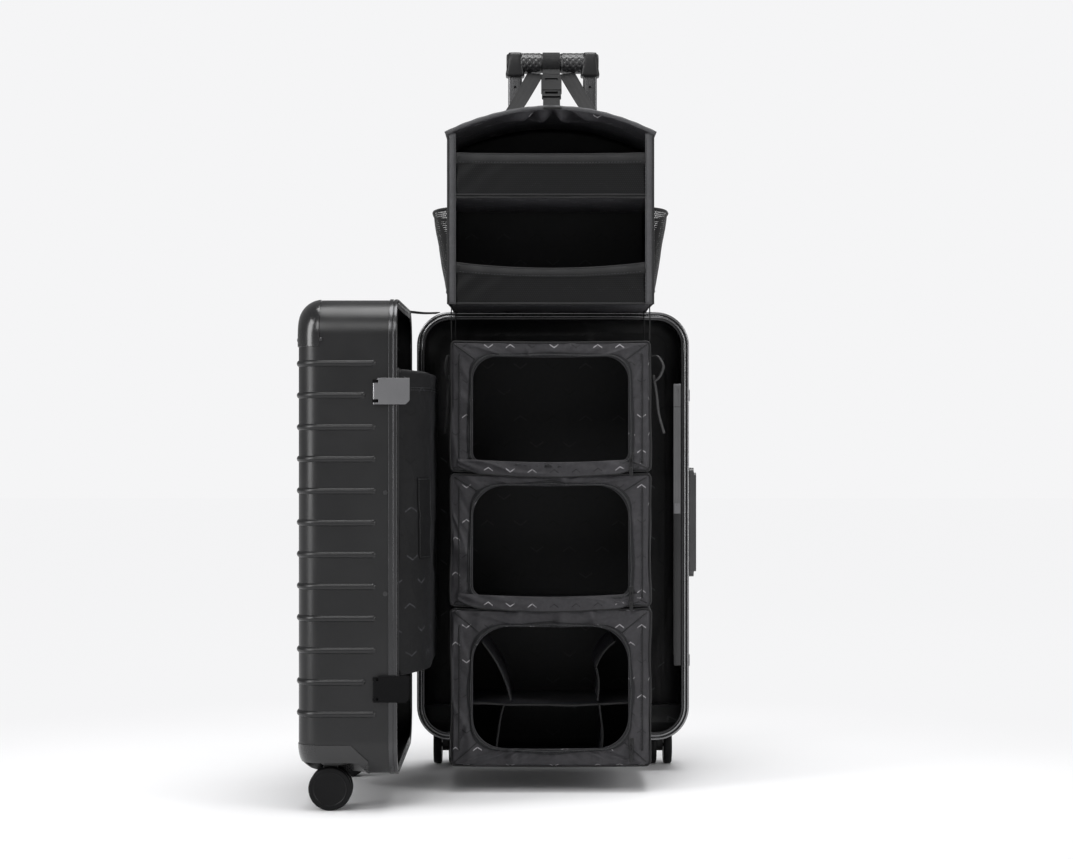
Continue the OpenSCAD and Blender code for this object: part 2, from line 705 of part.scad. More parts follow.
zip_w = 5;
zip_t = 1.2;
module zip(top, m) difference() {
  mouth(zip_w, -org_front - zip_t, -org_front, top, m);
  mouth(0, -org_front - zip_t - 1, -org_front + 1, top, m);
}
module cube_zips() color("#0e0f10") {
  zip(cube_top, upper_mouth);
  zip(middle_top, middle_mouth);
  zip(lower_top, lower_mouth);
}
// A zip slider with its pull, at the foot of the opening's right side
pull_l = 22;
module zip_pull(top, m) color("#4a4c50")
  translate([org_x + mouth_w / 2 + zip_w / 2, -org_front - zip_t - soft_gap, top - m[0] + 8]) {
    block([-4, -3.2, -5], [4, 0, 5]);
    block([-2.5, -2.2, -5 - pull_l], [2.5, -0.6, -5]);
  }
module upper_zip_pull() zip_pull(cube_top, upper_mouth);
module middle_zip_pull() zip_pull(middle_top, middle_mouth);
module lower_zip_pull() zip_pull(lower_top, lower_mouth);

// Fabric walls that divide the lower cube: [x, height above its floor] of their ends
divider_t = 2;
divider_walls = [
  [[-92, 165], [-53, 86]], [[86, 165], [60, 132]], [[60, 130], [63, 86]],
  [[-62, 80], [-73, 4]], [[66, 80], [66, 4]]
];
divider_floor = 83;
module wall_between(a, b) {
  n = divider_t / 2;
  translate([0, cube_back - cloth_t - soft_gap, 0]) rotate([90, 0, 0])
    linear_extrude(org_front + cube_back - 2 * cloth_t - 12)
      polygon([[a[0] - n, a[1]], [a[0] + n, a[1]], [b[0] + n, b[1]], [b[0] - n, b[1]]]);
}
module cube_dividers() color("#151618") translate([org_x, 0, cube_foot]) {
  for (w = divider_walls) wall_between(w[0], w[1]);
  block([-cube_w / 2 + cloth_t + soft_gap, -org_front + cloth_t + 12, divider_floor - divider_t],
    [cube_w / 2 - cloth_t - soft_gap, cube_back - cloth_t - soft_gap, divider_floor]);
}
// Straps at the four corners that carry the cubes, and a loop on each side
corner_strap_w = 5;
corner_strap_in = 8;
corner_strap_edge = 1;
rear_strap_y = -16;
corner_strap_l = base_z - cloth_t - cube_top - soft_gap;
loop_h = 38;
loop_w = 20;
loop_out = 11;
loop_low = 58;
loop_y = -org_front + 22;
module loop() difference() {
  block([0, -loop_w / 2, 0], [loop_out, loop_w / 2, loop_h]);
  block([webbing_t, -loop_w, webbing_t], [loop_out - webbing_t, loop_w, loop_h - webbing_t]);
}
module cube_straps() color("#17181a") for (s = [0, 1]) translate([org_x, 0, cube_top]) mirror([s, 0, 0]) {
  for (y = [-org_front + corner_strap_in, rear_strap_y])
    translate([cube_w / 2 - corner_strap_edge - webbing_t, y, 0])
      cube([webbing_t, corner_strap_w, corner_strap_l]);
  translate([cube_w / 2 + soft_gap, loop_y, -loop_low]) loop();
}

// Latches of the front half, drawn as on the closed case and then swung open
latch_x = leaf_in + catch_t + latch_t / 2;
latch_back = latch_l - latch_over;
pivot_y = latch_back - latch_t / 2;
ear_t = 3.4;
ear_at = 10.6;
base_plate_t = 0.8;
latch_cut = 5;
hook_half = 8;
hook_t = 2.4;
base_end_in = 2;
module at_latch(z) front_twin() translate([0, 0, z]) children();
module latch(z) color("#7d8086") at_latch(z) difference() {
  union() {
    translate([latch_x - latch_t / 2, 0, 0]) rotate([0, 90, 0]) linear_extrude(latch_t) polygon([
      [latch_h / 2, -latch_over + latch_cut], [latch_h / 2 - latch_cut, -latch_over],
      [-latch_h / 2, -latch_over], [-latch_h / 2, pivot_y - latch_cut],
      [-latch_h / 2 + latch_cut, pivot_y], [latch_h / 2, pivot_y]
    ]);
    translate([latch_x, pivot_y, -latch_h / 2]) cylinder(r = latch_t / 2, h = latch_h - latch_cut);
    block([leaf_in + soft_gap, -latch_over, -hook_half], [latch_x, -latch_over + hook_t, hook_half]);
  }
  translate([latch_x, pivot_y, -latch_h]) cylinder(r = latch_pin_r + pin_gap, h = 2 * latch_h);
  for (s = [0, 1]) mirror([0, 0, s])
    block([latch_x - 2 * latch_t, pivot_y - latch_cut, ear_at - end_gap],
      [latch_x + 2 * latch_t, pivot_y + latch_cut, ear_at + ear_t + end_gap]);
}
module latch_base(z) at_latch(z) {
  half = latch_h / 2 - base_end_in;
  block([leaf_in, 4, -half], [leaf_in + base_plate_t, frame_d, half]);
  block([case_w / 2, frame_d, -half], [leaf_in + base_plate_t, pivot_y + 2, half]);
  for (s = [0, 1]) mirror([0, 0, s])
    block([case_w / 2, pivot_y - 2.4, ear_at], [latch_x + latch_t / 2, pivot_y + 2.2, ear_at + ear_t]);
  translate([latch_x, pivot_y, -ear_at - 1]) cylinder(r = latch_pin_r, h = 2 * ear_at + 2);
}
module latch_bases() color("#3a3c40") {
  latch_base(latch_high_z);
  latch_base(latch_low_z);
}
module upper_latch() latch(latch_high_z);
module lower_latch() latch(latch_low_z);

// Soft divider across the front half, crowned out past the rim
divider_low = 170;
divider_high = 558;
divider_out = 41;
divider_in = 3;
// How far past its ends the upright crown of the divider would run on
divider_fall = 300;
divider_half = case_w / 2 - bezel_w - soft_gap;
// Arc through three points: half width a, rise b
function arc_r(a, b) = (a * a + b * b) / (2 * b);
module crown(a, b) intersection() {
  translate([0, b - arc_r(a, b)]) circle(arc_r(a, b), $fn = 96);
  translate([-a, 0]) square([2 * a, 2 * b]);
}
module divider_panel() color("#1b1c1f") front_twin() translate([0, -divider_out, 0]) intersection() {
  translate([0, divider_out + divider_in, divider_low]) mirror([0, 1, 0])
    linear_extrude(divider_high - divider_low) crown(divider_half, divider_out + divider_in);
  translate([-case_w / 2, divider_out + divider_in, (divider_low + divider_high) / 2]) mirror([0, 1, 0])
    rotate([0, 90, 0]) linear_extrude(case_w)
      crown((divider_high - divider_low) / 2 + divider_fall, divider_out + divider_in + 1);
}
// Strap that joins the two halves over their upper corners beside the hinge
stay_w = 8;
stay_in = 29;
stay_mid = frame_d / 2;
stay_z = shell_top - corner_r + soft_gap
  + sqrt(pow(corner_r + frame_t, 2) - pow(corner_r - stay_in - stay_w / 2, 2));
stay_side = hinge_out + stay_in + stay_mid;
module lid_stay() color("#121315") translate([hinge_x - stay_mid, -hinge_out - stay_in, stay_z])
  rotate([0, 0, 45]) translate([0, -stay_w / 2, 0]) cube([sqrt(2) * stay_side, stay_w, 1.2]);

// Casters: a swivelling fork between two wheels on one axle
fork_t = wheel_gap - 1.2;
disc_r = 17;
disc_t = 3;
module caster(p, turn) translate([p[0], p[1], 0]) rotate([0, 0, turn]) difference() {
  union() {
    cylinder_at(stem_r, well_top - 1, well_top + 12);
    cylinder_at(disc_r, well_top - 1 - disc_t, well_top - 0.8);
    translate([wheel_trail, fork_t / 2, wheel_r]) rotate([90, 0, 0]) cylinder(r = 9, h = fork_t);
    block([wheel_trail - 9, -fork_t / 2, wheel_r], [wheel_trail + 9, fork_t / 2, well_top - disc_t]);
  }
  translate([wheel_trail, fork_t, wheel_r]) rotate([90, 0, 0])
    cylinder(r = axle_r + pin_gap, h = 2 * fork_t);
}
module cylinder_at(r, z0, z1) translate([0, 0, z0]) cylinder(r = r, h = z1 - z0);
tread_r = 3;
module wheel_section() difference() {
  square([wheel_r, wheel_t]);
  translate([wheel_r - tread_r, wheel_t - tread_r]) corner_waste(tread_r);
  translate([wheel_r - tread_r, tread_r]) mirror([0, 1]) corner_waste(tread_r);
  translate([-1, wheel_t - 1.5]) square([wheel_r - 8 + 1, 2]);
}
module wheels(p, turn) color("#18191b") translate([p[0], p[1], 0]) rotate([0, 0, turn])
  translate([wheel_trail, 0, wheel_r]) {
    for (s = [0, 1]) mirror([0, s, 0]) translate([0, wheel_gap / 2, 0]) rotate([-90, 0, 0])
      rotate_extrude() wheel_section();
    rotate([90, 0, 0]) cylinder(r = axle_r, h = wheel_gap + 4, center = true);
  }
// Swivel axes: the back half's pair, and the front half's near and far ones
back_left = [-swivel_x, swivel_y];
back_right = [swivel_x, swivel_y];
front_near = [hinge_x - swivel_y, hinge_x - swivel_x];
front_far = [hinge_x - swivel_y, hinge_x + swivel_x];
module back_left_caster() color("#232427") caster(back_left, 90);
module back_right_caster() color("#232427") caster(back_right, 90);
module front_near_caster() color("#232427") caster(front_near, 180);
module front_far_caster() color("#232427") caster(front_far, 180);
module back_left_wheels() wheels(back_left, 90);
module back_right_wheels() wheels(back_right, 90);
module front_near_wheels() wheels(front_near, 180);
module front_far_wheels() wheels(front_far, 180);

back_shell();
back_rim_frame();
back_lining();
back_corner_guards();
back_wheel_housings();
back_rivets();
back_hinge_leaves();
hinge_pins();
lock_fittings();
lock_bar();
side_handle_base();
side_handle_grip();
trolley_bezel();
trolley_sleeves();
middle_tubes();
grip_tubes();
grip_handle();
release_button();
hanger_strap();
buckle_socket();
buckle_prongs();
roof_webbing();
roof_panel();
upper_shelf();
bottom_shelf();
left_side_panel();
right_side_panel();
rear_panel();
upper_mesh();
lower_mesh();
side_mesh_pockets();
upper_cube();
middle_cube();
lower_cube();
cube_dividers();
cube_zips();
upper_zip_pull();
middle_zip_pull();
lower_zip_pull();
cube_straps();
front_shell();
front_rim_frame();
front_lining();
front_corner_guards();
front_wheel_housings();
front_rivets();
front_hinge_leaves();
latch_bases();
upper_latch();
lower_latch();
divider_panel();
lid_stay();
back_left_caster();
back_right_caster();
front_near_caster();
front_far_caster();
back_left_wheels();
back_right_wheels();
front_near_wheels();
front_far_wheels();
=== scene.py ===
import json
import math

import bmesh
import bpy
import numpy as np
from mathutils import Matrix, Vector

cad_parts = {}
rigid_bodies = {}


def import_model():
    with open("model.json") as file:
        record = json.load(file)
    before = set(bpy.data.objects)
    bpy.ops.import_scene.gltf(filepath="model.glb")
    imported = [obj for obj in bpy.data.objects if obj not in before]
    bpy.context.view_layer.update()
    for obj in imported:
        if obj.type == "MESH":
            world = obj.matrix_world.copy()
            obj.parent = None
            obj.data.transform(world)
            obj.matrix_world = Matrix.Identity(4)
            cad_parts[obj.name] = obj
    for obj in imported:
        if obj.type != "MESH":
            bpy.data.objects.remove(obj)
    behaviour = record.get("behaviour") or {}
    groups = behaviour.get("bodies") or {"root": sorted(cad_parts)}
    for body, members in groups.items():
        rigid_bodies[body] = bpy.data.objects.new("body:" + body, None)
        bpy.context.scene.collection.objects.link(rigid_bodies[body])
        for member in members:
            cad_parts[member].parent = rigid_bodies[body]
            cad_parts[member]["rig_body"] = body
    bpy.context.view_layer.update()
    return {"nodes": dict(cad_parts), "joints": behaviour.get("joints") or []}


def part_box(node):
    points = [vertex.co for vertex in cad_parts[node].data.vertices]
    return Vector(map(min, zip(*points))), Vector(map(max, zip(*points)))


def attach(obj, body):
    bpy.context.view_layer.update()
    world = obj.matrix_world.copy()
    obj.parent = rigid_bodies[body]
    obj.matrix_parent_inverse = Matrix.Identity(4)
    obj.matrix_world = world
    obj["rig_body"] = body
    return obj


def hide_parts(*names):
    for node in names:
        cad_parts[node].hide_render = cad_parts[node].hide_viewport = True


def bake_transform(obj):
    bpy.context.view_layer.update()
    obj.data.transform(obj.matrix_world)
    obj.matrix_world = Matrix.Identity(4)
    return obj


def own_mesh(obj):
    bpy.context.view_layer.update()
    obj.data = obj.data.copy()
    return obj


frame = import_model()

MM = 0.001
BACK, FRONT, GRIP = "back_half", "front_half", "grip_body"


def span(node):
    """Lowest and highest corner of a CAD node at rest."""
    return [np.array([float(v) for v in c]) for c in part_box(node)[:2]]


def mm(*values):
    """Millimetres as an array in metres."""
    return np.array(values) * MM


def stack(*parts):
    """Numbers and arrays as the last axis of one array: points from their coordinates."""
    return np.stack(np.broadcast_arrays(*parts), axis=-1)


def grid(u, v):
    """Two grids of values, one that changes along u and one along v."""
    return np.meshgrid(u, v, indexing="ij")


def bump(t):
    """0 at both ends of 0..1 and 1 between: sin(pi t)."""
    return np.sin(math.pi * t)


# Sizes read from the frame, in metres

(RIM_LOW, RIM_HIGH), (BACK_LOW, BACK_HIGH) = span("back_rim_frame"), span("back_shell")
CASE_W = RIM_HIGH[0] - RIM_LOW[0] - 3 * MM
SHELL_LOW, SHELL_TOP = BACK_LOW[2], BACK_HIGH[2]
SHELL_H = SHELL_TOP - SHELL_LOW
RIB_HALF, RIB_H = 4 * MM, 2.5 * MM
HALF_D = BACK_HIGH[1] - RIB_H
HINGE_X = float(next(j for j in frame["joints"] if j["name"] == "lid_hinge")["pos_m"][0])
MID_Z = (SHELL_LOW + SHELL_TOP) / 2
CORNER_R, EDGE_R, BEZEL_T, SHELL_T = 46 * MM, 30 * MM, 2.7 * MM, 2.5 * MM


# Mesh helpers

def link(name, mesh):
    """Object at the origin from a mesh."""
    obj = bpy.data.objects.new(name, mesh)
    bpy.context.scene.collection.objects.link(obj)
    return obj


def corners_of(mesh):
    """Point number at each face corner of a mesh."""
    loops = np.empty(len(mesh.loops), dtype=np.int32)
    mesh.loops.foreach_get("vertex_index", loops)
    return loops


def set_uv(mesh, uv):
    """Cloth coordinates from one pair per point, in metres."""
    mesh.uv_layers.new(name="cloth").data.foreach_set("uv", uv[corners_of(mesh)].ravel())


def new_object(name, verts, faces, smooth=True, uv=None):
    """Object from point and face arrays."""
    mesh = bpy.data.meshes.new(name)
    mesh.from_pydata(np.asarray(verts, dtype=float).tolist(), [], [list(map(int, f)) for f in faces])
    if smooth:
        mesh.shade_smooth()
    if uv is not None:
        set_uv(mesh, np.asarray(uv, dtype=float))
    return link(name, mesh)


def edit(mesh, work):
    """Runs work(bm) on a mesh."""
    bm = bmesh.new()
    bm.from_mesh(mesh)
    work(bm)
    bm.to_mesh(mesh)
    bm.free()


def outward(obj):
    """Turns a closed shape's faces out."""
    edit(obj.data, lambda bm: bmesh.ops.recalc_face_normals(bm, faces=bm.faces))
    return obj


def flip(obj):
    """Turns every face over."""
    edit(obj.data, lambda bm: bmesh.ops.reverse_faces(bm, faces=bm.faces))


def outward_open(obj, inside):
    """Turns an open surface's faces away from an inside point."""
    def work(bm):
        bmesh.ops.recalc_face_normals(bm, faces=bm.faces)
        total = sum((f.calc_center_median() - Vector(inside)).dot(f.normal) * f.calc_area() for f in bm.faces)
        if total < 0:
            bmesh.ops.reverse_faces(bm, faces=bm.faces)
    edit(obj.data, work)


def points_of(obj):
    """An object's points as an array."""
    co = np.empty(len(obj.data.vertices) * 3)
    obj.data.vertices.foreach_get("co", co)
    return co.reshape(-1, 3)


def grid_faces(nu, nv, close_u=False, close_v=False):
    """Quads over a grid of nu by nv points; rows run along v."""
    a, b = grid(np.arange(nu if close_u else nu - 1), np.arange(nv if close_v else nv - 1))
    a2, b2 = (a + 1) % nu, (b + 1) % nv
    return np.stack([a * nv + b, a2 * nv + b, a2 * nv + b2, a * nv + b2], axis=-1).reshape(-1, 4)


def end_faces(nu, nv):
    """Flat faces over the first and last column of a grid that closes along u."""
    return [tuple(i * nv for i in reversed(range(nu))), tuple(i * nv + nv - 1 for i in range(nu))]


def surface(name, points, close_u=False, close_v=False, cap=False, uv=None):
    """Object from points[u, v]; cap closes the first and last u row with flat faces."""
    nu, nv = points.shape[:2]
    faces = [tuple(f) for f in grid_faces(nu, nv, close_u, close_v)]
    if cap:
        faces += [tuple(range(nv)), tuple((nu - 1) * nv + i for i in reversed(range(nv)))]
    uv = None if uv is None else uv.reshape(-1, 2)
    return outward(new_object(name, points.reshape(-1, 3), faces, uv=uv))


def crease(obj, degrees):
    """Smooth shading with sharp edges past an angle."""
    obj.data.shade_smooth()
    obj.data.set_sharp_from_angle(angle=math.radians(degrees))
    return obj


def join(name, objects):
    """One object from several, in order."""
    bm = bmesh.new()
    for o in objects:
        bm.from_mesh(o.data)
    mesh = bpy.data.meshes.new(name)
    bm.to_mesh(mesh)
    bm.free()
    discard(objects)
    return link(name, mesh)


def discard(objects):
    """Takes helper objects out of the file."""
    for o in objects:
        bpy.data.objects.remove(o)


def round_edges(obj, width, degrees):
    """Bevel of three segments on the edges past an angle."""
    mod = obj.modifiers.new("Bevel", "BEVEL")
    mod.width = width
    mod.segments = 3
    mod.limit_method = "ANGLE"
    mod.angle_limit = math.radians(degrees)
    mod.harden_normals = True


def apply_modifiers(obj):
    """Makes the modifiers part of the mesh."""
    graph = bpy.context.evaluated_depsgraph_get()
    graph.update()
    mesh = bpy.data.meshes.new_from_object(obj.evaluated_get(graph))
    obj.modifiers.clear()
    obj.data = mesh
    return obj


def thicken(obj, thick, offset=0.0):
    """Gives an open sheet its thickness and closes its edges, as part of its mesh."""
    mod = obj.modifiers.new("Thickness", "SOLIDIFY")
    mod.thickness = thick
    mod.offset = offset
    return apply_modifiers(obj)


def cut(obj, tools, operation="DIFFERENCE"):
    """Cuts tools away from an object, or keeps only what lies in them; the tools go."""
    for tool in tools:
        mod = obj.modifiers.new("Cut", "BOOLEAN")
        mod.operation = operation
        mod.object = tool
        mod.solver = "EXACT"
    apply_modifiers(obj)
    discard(tools)
    return obj


def cad_copy(node, name, bevel):
    """A merged copy of a CAD node's mesh with its hard edges rounded by bevel mm."""
    obj = link(name, frame["nodes"][node].data.copy())
    obj.data.name = name

    def work(bm):
        bmesh.ops.remove_doubles(bm, verts=bm.verts, dist=1e-5)
        bmesh.ops.dissolve_limit(bm, angle_limit=math.radians(1.5), verts=bm.verts, edges=bm.edges)
    edit(obj.data, work)
    crease(obj, 35)
    if bevel:
        round_edges(obj, bevel * MM, 35)
    return obj


def dress(obj, body, finish, slot, stands_for=None):
    """Material, body and replaced CAD node of a finished piece; the slot argument is not used."""
    obj.data.materials.clear()
    obj.data.materials.append(finish)
    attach(obj, body)
    if stands_for:
        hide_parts(stands_for)
    return obj


def second_finish(obj, finish, chosen):
    """Gives the faces where chosen(centres) is true a second material."""
    obj.data.materials.append(finish)
    centre = np.empty(len(obj.data.polygons) * 3)
    obj.data.polygons.foreach_get("center", centre)
    obj.data.polygons.foreach_set("material_index", chosen(centre.reshape(-1, 3)).astype(np.int32))


def smooth_noise(p, scale, seed):
    """Soft bumps between -1 and 1: a sum of sines along fixed random directions, scale mm long."""
    rng = np.random.default_rng(seed)
    out = np.zeros(p.shape[:-1])
    for _ in range(9):
        d = rng.normal(size=3)
        d /= np.linalg.norm(d)
        out += np.sin(p @ d * (2 * math.pi / (scale * MM * rng.uniform(0.7, 1.5))) + rng.uniform(0, 6.28))
    return out / 4.5


def creases(p, scale, seed):
    """Sharp folds where soft noise crosses zero: exp(-(n / 0.16)^2)."""
    return np.exp(-(smooth_noise(p, scale, seed) / 0.16) ** 2)


def run_length(path):
    """Distance along a path at each of its points."""
    return np.concatenate([[0], np.cumsum(np.linalg.norm(np.diff(path, axis=0), axis=1))])


# Materials

def linear(code):
    """An sRGB hex colour as linear RGBA."""
    c = np.array([int(code[i:i + 2], 16) for i in (1, 3, 5)]) / 255
    c = np.where(c <= 0.04045, c / 12.92, ((c + 0.055) / 1.055) ** 2.4)
    return (*c.tolist(), 1.0)


def add(tree, kind, inputs=None, **settings):
    """Adds one node; inputs maps a socket's name or number to a value or to another node's socket."""
    node = tree.nodes.new(kind)
    for key, value in settings.items():
        setattr(node, key, value)
    for key, value in (inputs or {}).items():
        if isinstance(value, bpy.types.NodeSocket):
            tree.links.new(value, node.inputs[key])
        else:
            node.inputs[key].default_value = value
    return node


def start(name, **sockets):
    """A material with its Principled shader; a socket named coat_weight is the shader's Coat Weight."""
    mat = bpy.data.materials.new(name)
    mat.use_nodes = True
    shader = mat.node_tree.nodes["Principled BSDF"]
    for key, value in sockets.items():
        shader.inputs[key.replace("_", " ").title().replace("Ior", "IOR")].default_value = value
    return mat, mat.node_tree, shader


def wire(tree, shader, **sockets):
    """Links sockets into the shader: base_color goes to Base Color."""
    for key, value in sockets.items():
        tree.links.new(value, shader.inputs[key.replace("_", " ").title()])


def per_metre(size_mm):
    """Texture scale that gives features of this many millimetres."""
    return 1000.0 / size_mm


def mix(tree, factor, low, high):
    """Socket of a colour between two hex colours or sockets."""
    ends = [linear(c) if isinstance(c, str) else c for c in (low, high)]
    return add(tree, "ShaderNodeMix", {0: factor, 6: ends[0], 7: ends[1]}, data_type="RGBA").outputs[2]


def remap(tree, value, a, b, c, d):
    """Socket that maps a..b to c..d, held at the ends."""
    return add(tree, "ShaderNodeMapRange", {0: value, 1: a, 2: b, 3: c, 4: d}).outputs[0]


def calc(tree, operation, a, b=0.0, c=0.0):
    """Socket of one sum."""
    return add(tree, "ShaderNodeMath", {0: a, 1: b, 2: c}, operation=operation).outputs[0]


def times(tree, a, b):
    """Socket of a product."""
    return calc(tree, "MULTIPLY", a, b)


def grain(tree, coords, size_mm, detail=2.0, rough=0.5, stretch=(1, 1, 1)):
    """Noise socket whose lumps measure size_mm; stretch lengthens them along an axis."""
    moved = add(tree, "ShaderNodeMapping", {0: coords, 3: tuple(1 / s for s in stretch)}).outputs[0]
    return add(tree, "ShaderNodeTexNoise", {"Vector": moved, "Scale": per_metre(size_mm),
                                            "Detail": detail, "Roughness": rough}).outputs[0]


def object_coords(tree):
    """Coordinates in metres for hard pieces."""
    return add(tree, "ShaderNodeTexCoord").outputs["Object"]


def cloth_coords(tree):
    """Coordinates in metres along the cloth."""
    return add(tree, "ShaderNodeUVMap", uv_map="cloth").outputs[0]


def cells(tree, uv, wide, high):
    """U and V sockets that count cells of wide by high mm."""
    scale = (per_metre(wide), per_metre(high), 1)
    counted = add(tree, "ShaderNodeMapping", {0: uv, 3: scale}).outputs[0]
    return add(tree, "ShaderNodeSeparateXYZ", {0: counted}).outputs


def relief(tree, shader, height, strength, depth_mm):
    """Bump from a height socket, depth_mm deep."""
    bumps = add(tree, "ShaderNodeBump", {"Strength": strength, "Distance": depth_mm * MM, "Height": height})
    wire(tree, shader, normal=bumps.outputs[0])


def plastic(name, dark, light, rough, grain_mm, depth, shine, coat=0.0):
    """Moulded plastic: a spark-eroded grain, slight mottling and rougher rubbed patches."""
    mat, tree, shader = start(name, roughness=rough, ior=1.5, specular_ior_level=shine, coat_weight=coat,
                              coat_roughness=0.12)
    fine, broad = grain(tree, object_coords(tree), grain_mm, 3), grain(tree, object_coords(tree), 70, 2)
    worn = calc(tree, "ADD", broad, times(tree, fine, 0.4))
    wire(tree, shader, base_color=mix(tree, remap(tree, broad, 0.3, 0.7, 0, 1), dark, light),
         roughness=remap(tree, worn, 0.4, 1.0, rough - 0.05, rough + 0.07))
    relief(tree, shader, fine, 0.35, depth)
    return mat


def metal(name, tint, shade, rough, lay_length, lay_mm, depth):
    """Metal with a fine lay, lay_length times as long up as across, darkened a little by grime."""
    mat, tree, shader = start(name, metallic=1.0, roughness=rough)
    lines = grain(tree, object_coords(tree), lay_mm, 3, 0.6, (1, 1, lay_length))
    broad = grain(tree, object_coords(tree), 45, 2)
    wire(tree, shader, base_color=mix(tree, remap(tree, broad, 0.35, 0.75, 0, 0.25), tint, shade),
         roughness=remap(tree, lines, 0.3, 0.7, rough - 0.06, rough + 0.08))
    relief(tree, shader, lines, 0.3, depth)
    return mat


def chevrons(tree, uv, pitch_mm):
    """(line, light) sockets of a print of small chevrons in staggered rows.

    In each cell the line is where |v - 0.5 + 0.9 (|u - 0.5| - 0.1)| is small and |u - 0.5| < 0.2;
    every other row moves half a cell, and a random number per cell turns some of them over.
    """
    across, up, _ = cells(tree, uv, pitch_mm, pitch_mm * 0.8)
    row = calc(tree, "FLOOR", up)
    shifted = calc(tree, "ADD", across, times(tree, row, 0.5))
    place = add(tree, "ShaderNodeCombineXYZ", {0: calc(tree, "FLOOR", shifted), 1: row}).outputs[0]
    chance = add(tree, "ShaderNodeTexWhiteNoise", {"Vector": place}, noise_dimensions="2D").outputs[0]
    turn = calc(tree, "SIGN", calc(tree, "SUBTRACT", chance, 0.45))
    u = calc(tree, "ABSOLUTE", calc(tree, "SUBTRACT", calc(tree, "FRACT", shifted), 0.5))
    v = calc(tree, "SUBTRACT", calc(tree, "FRACT", up), 0.5)
    arm = times(tree, calc(tree, "SUBTRACT", u, 0.1), turn)
    off = calc(tree, "ABSOLUTE", calc(tree, "MULTIPLY_ADD", arm, 0.9, v))
    line = times(tree, calc(tree, "LESS_THAN", off, 0.035), calc(tree, "LESS_THAN", u, 0.2))
    noise = add(tree, "ShaderNodeTexWhiteNoise", {"Vector": place, "W": 3.0},
                noise_dimensions="4D").outputs[0]
    return line, calc(tree, "GREATER_THAN", noise, 0.5)


def woven(name, dark, light, inks=None, rough=0.62, thread_mm=1.4, sheen=0.15, pitch_mm=46, shine=0.4):
    """Coated polyester: a plain weave of 0.5 mm threads, drawn as coarse as thread_mm so that it shows.

    inks gives the print's two colours.
    """
    mat, tree, shader = start(name, roughness=rough, ior=1.48, sheen_weight=sheen, sheen_roughness=0.4,
                              specular_ior_level=shine, sheen_tint=linear("#8a8a90"))
    uv = cloth_coords(tree)
    across, up, _ = cells(tree, uv, thread_mm, thread_mm)
    weave = times(tree, *(calc(tree, "SINE", times(tree, way, math.tau)) for way in (across, up)))
    slub = grain(tree, uv, 6, 3, 0.6)
    tone = calc(tree, "ADD", times(tree, slub, 0.5), times(tree, grain(tree, uv, 55, 3), 0.5))
    colour = mix(tree, remap(tree, tone, 0.35, 0.65, 0, 1), dark, light)
    if inks:
        line, is_light = chevrons(tree, uv, pitch_mm)
        worn = remap(tree, grain(tree, uv, 5, 3), 0.40, 0.52, 0.45, 1)
        colour = mix(tree, times(tree, line, worn), colour, mix(tree, is_light, *inks))
    wire(tree, shader, base_color=colour)
    relief(tree, shader, calc(tree, "ADD", weave, times(tree, slub, 2.0)), 0.5, 0.12)
    return mat


def ribbed_webbing(name, dark, light):
    """Polyester webbing: a soft matt herringbone of picks, drawn 1.8 mm apart for the real 1 mm."""
    mat, tree, shader = start(name, roughness=0.7, ior=1.48, sheen_weight=0.06, sheen_roughness=0.5,
                              specular_ior_level=0.3)
    across, up, _ = cells(tree, cloth_coords(tree), 1.8, 1.8)
    slanted = calc(tree, "ADD", up, calc(tree, "PINGPONG", across, 2.0))
    picks = calc(tree, "SINE", times(tree, slanted, math.tau))
    wire(tree, shader, base_color=mix(tree, remap(tree, picks, -1, 1, 0, 1), dark, light))
    relief(tree, shader, picks, 0.6, 0.25)
    return mat


def knitted_mesh(name, dark, light):
    """Warp-knitted mesh: holes 1.5 mm apart on the real cloth, drawn 2.6 mm apart, let the inside show."""
    mat, tree, shader = start(name, roughness=0.6, ior=1.48, sheen_weight=0.08, specular_ior_level=0.25)
    across, up, _ = cells(tree, cloth_coords(tree), 2.6, 2.6)
    shift = times(tree, calc(tree, "FLOOR", up), 0.5)
    u = calc(tree, "SUBTRACT", calc(tree, "FRACT", calc(tree, "ADD", across, shift)), 0.5)
    v = calc(tree, "SUBTRACT", calc(tree, "FRACT", up), 0.5)
    away = calc(tree, "SQRT", calc(tree, "ADD", times(tree, u, u), times(tree, v, v)))
    wire(tree, shader, base_color=mix(tree, remap(tree, away, 0.27, 0.6, 0, 1), dark, light),
         alpha=calc(tree, "GREATER_THAN", away, 0.31))
    relief(tree, shader, away, 0.5, 0.2)
    return mat


def coil_thread(name, dark, light):
    """Nylon coil: glossy monofilament turns that catch small highlights."""
    mat, tree, shader = start(name, roughness=0.38, ior=1.53)
    wire(tree, shader, base_color=mix(tree, grain(tree, object_coords(tree), 3, 2), dark, light))
    return mat


# Textured polycarbonate: a satin charcoal skin with a fine pebble that breaks the highlight
SHELL = plastic("moulded polycarbonate", "#131314", "#171718", 0.33, 1.3, 0.05, 0.42)
# Glossy ABS of the guards and housings: smooth enough to mirror the softboxes
GUARD = plastic("polished ABS", "#141415", "#19191a", 0.24, 2.5, 0.01, 0.5, 0.3)
# Satin ABS of the casters, the trolley's bezel and the grip's ends
ABS = plastic("satin ABS", "#111112", "#161617", 0.38, 1.1, 0.04, 0.38)
# The same ABS on the side handle, coloured paler all over as a painted highlight
HANDLE = plastic("side handle ABS with painted highlight", "#39393a", "#444445", 0.28, 1.1, 0.03, 0.6)
# Acetal of the buckle: dark with a waxy shine
BUCKLE = plastic("acetal", "#0a0a0b", "#0e0e0f", 0.38, 1.4, 0.02, 0.2)
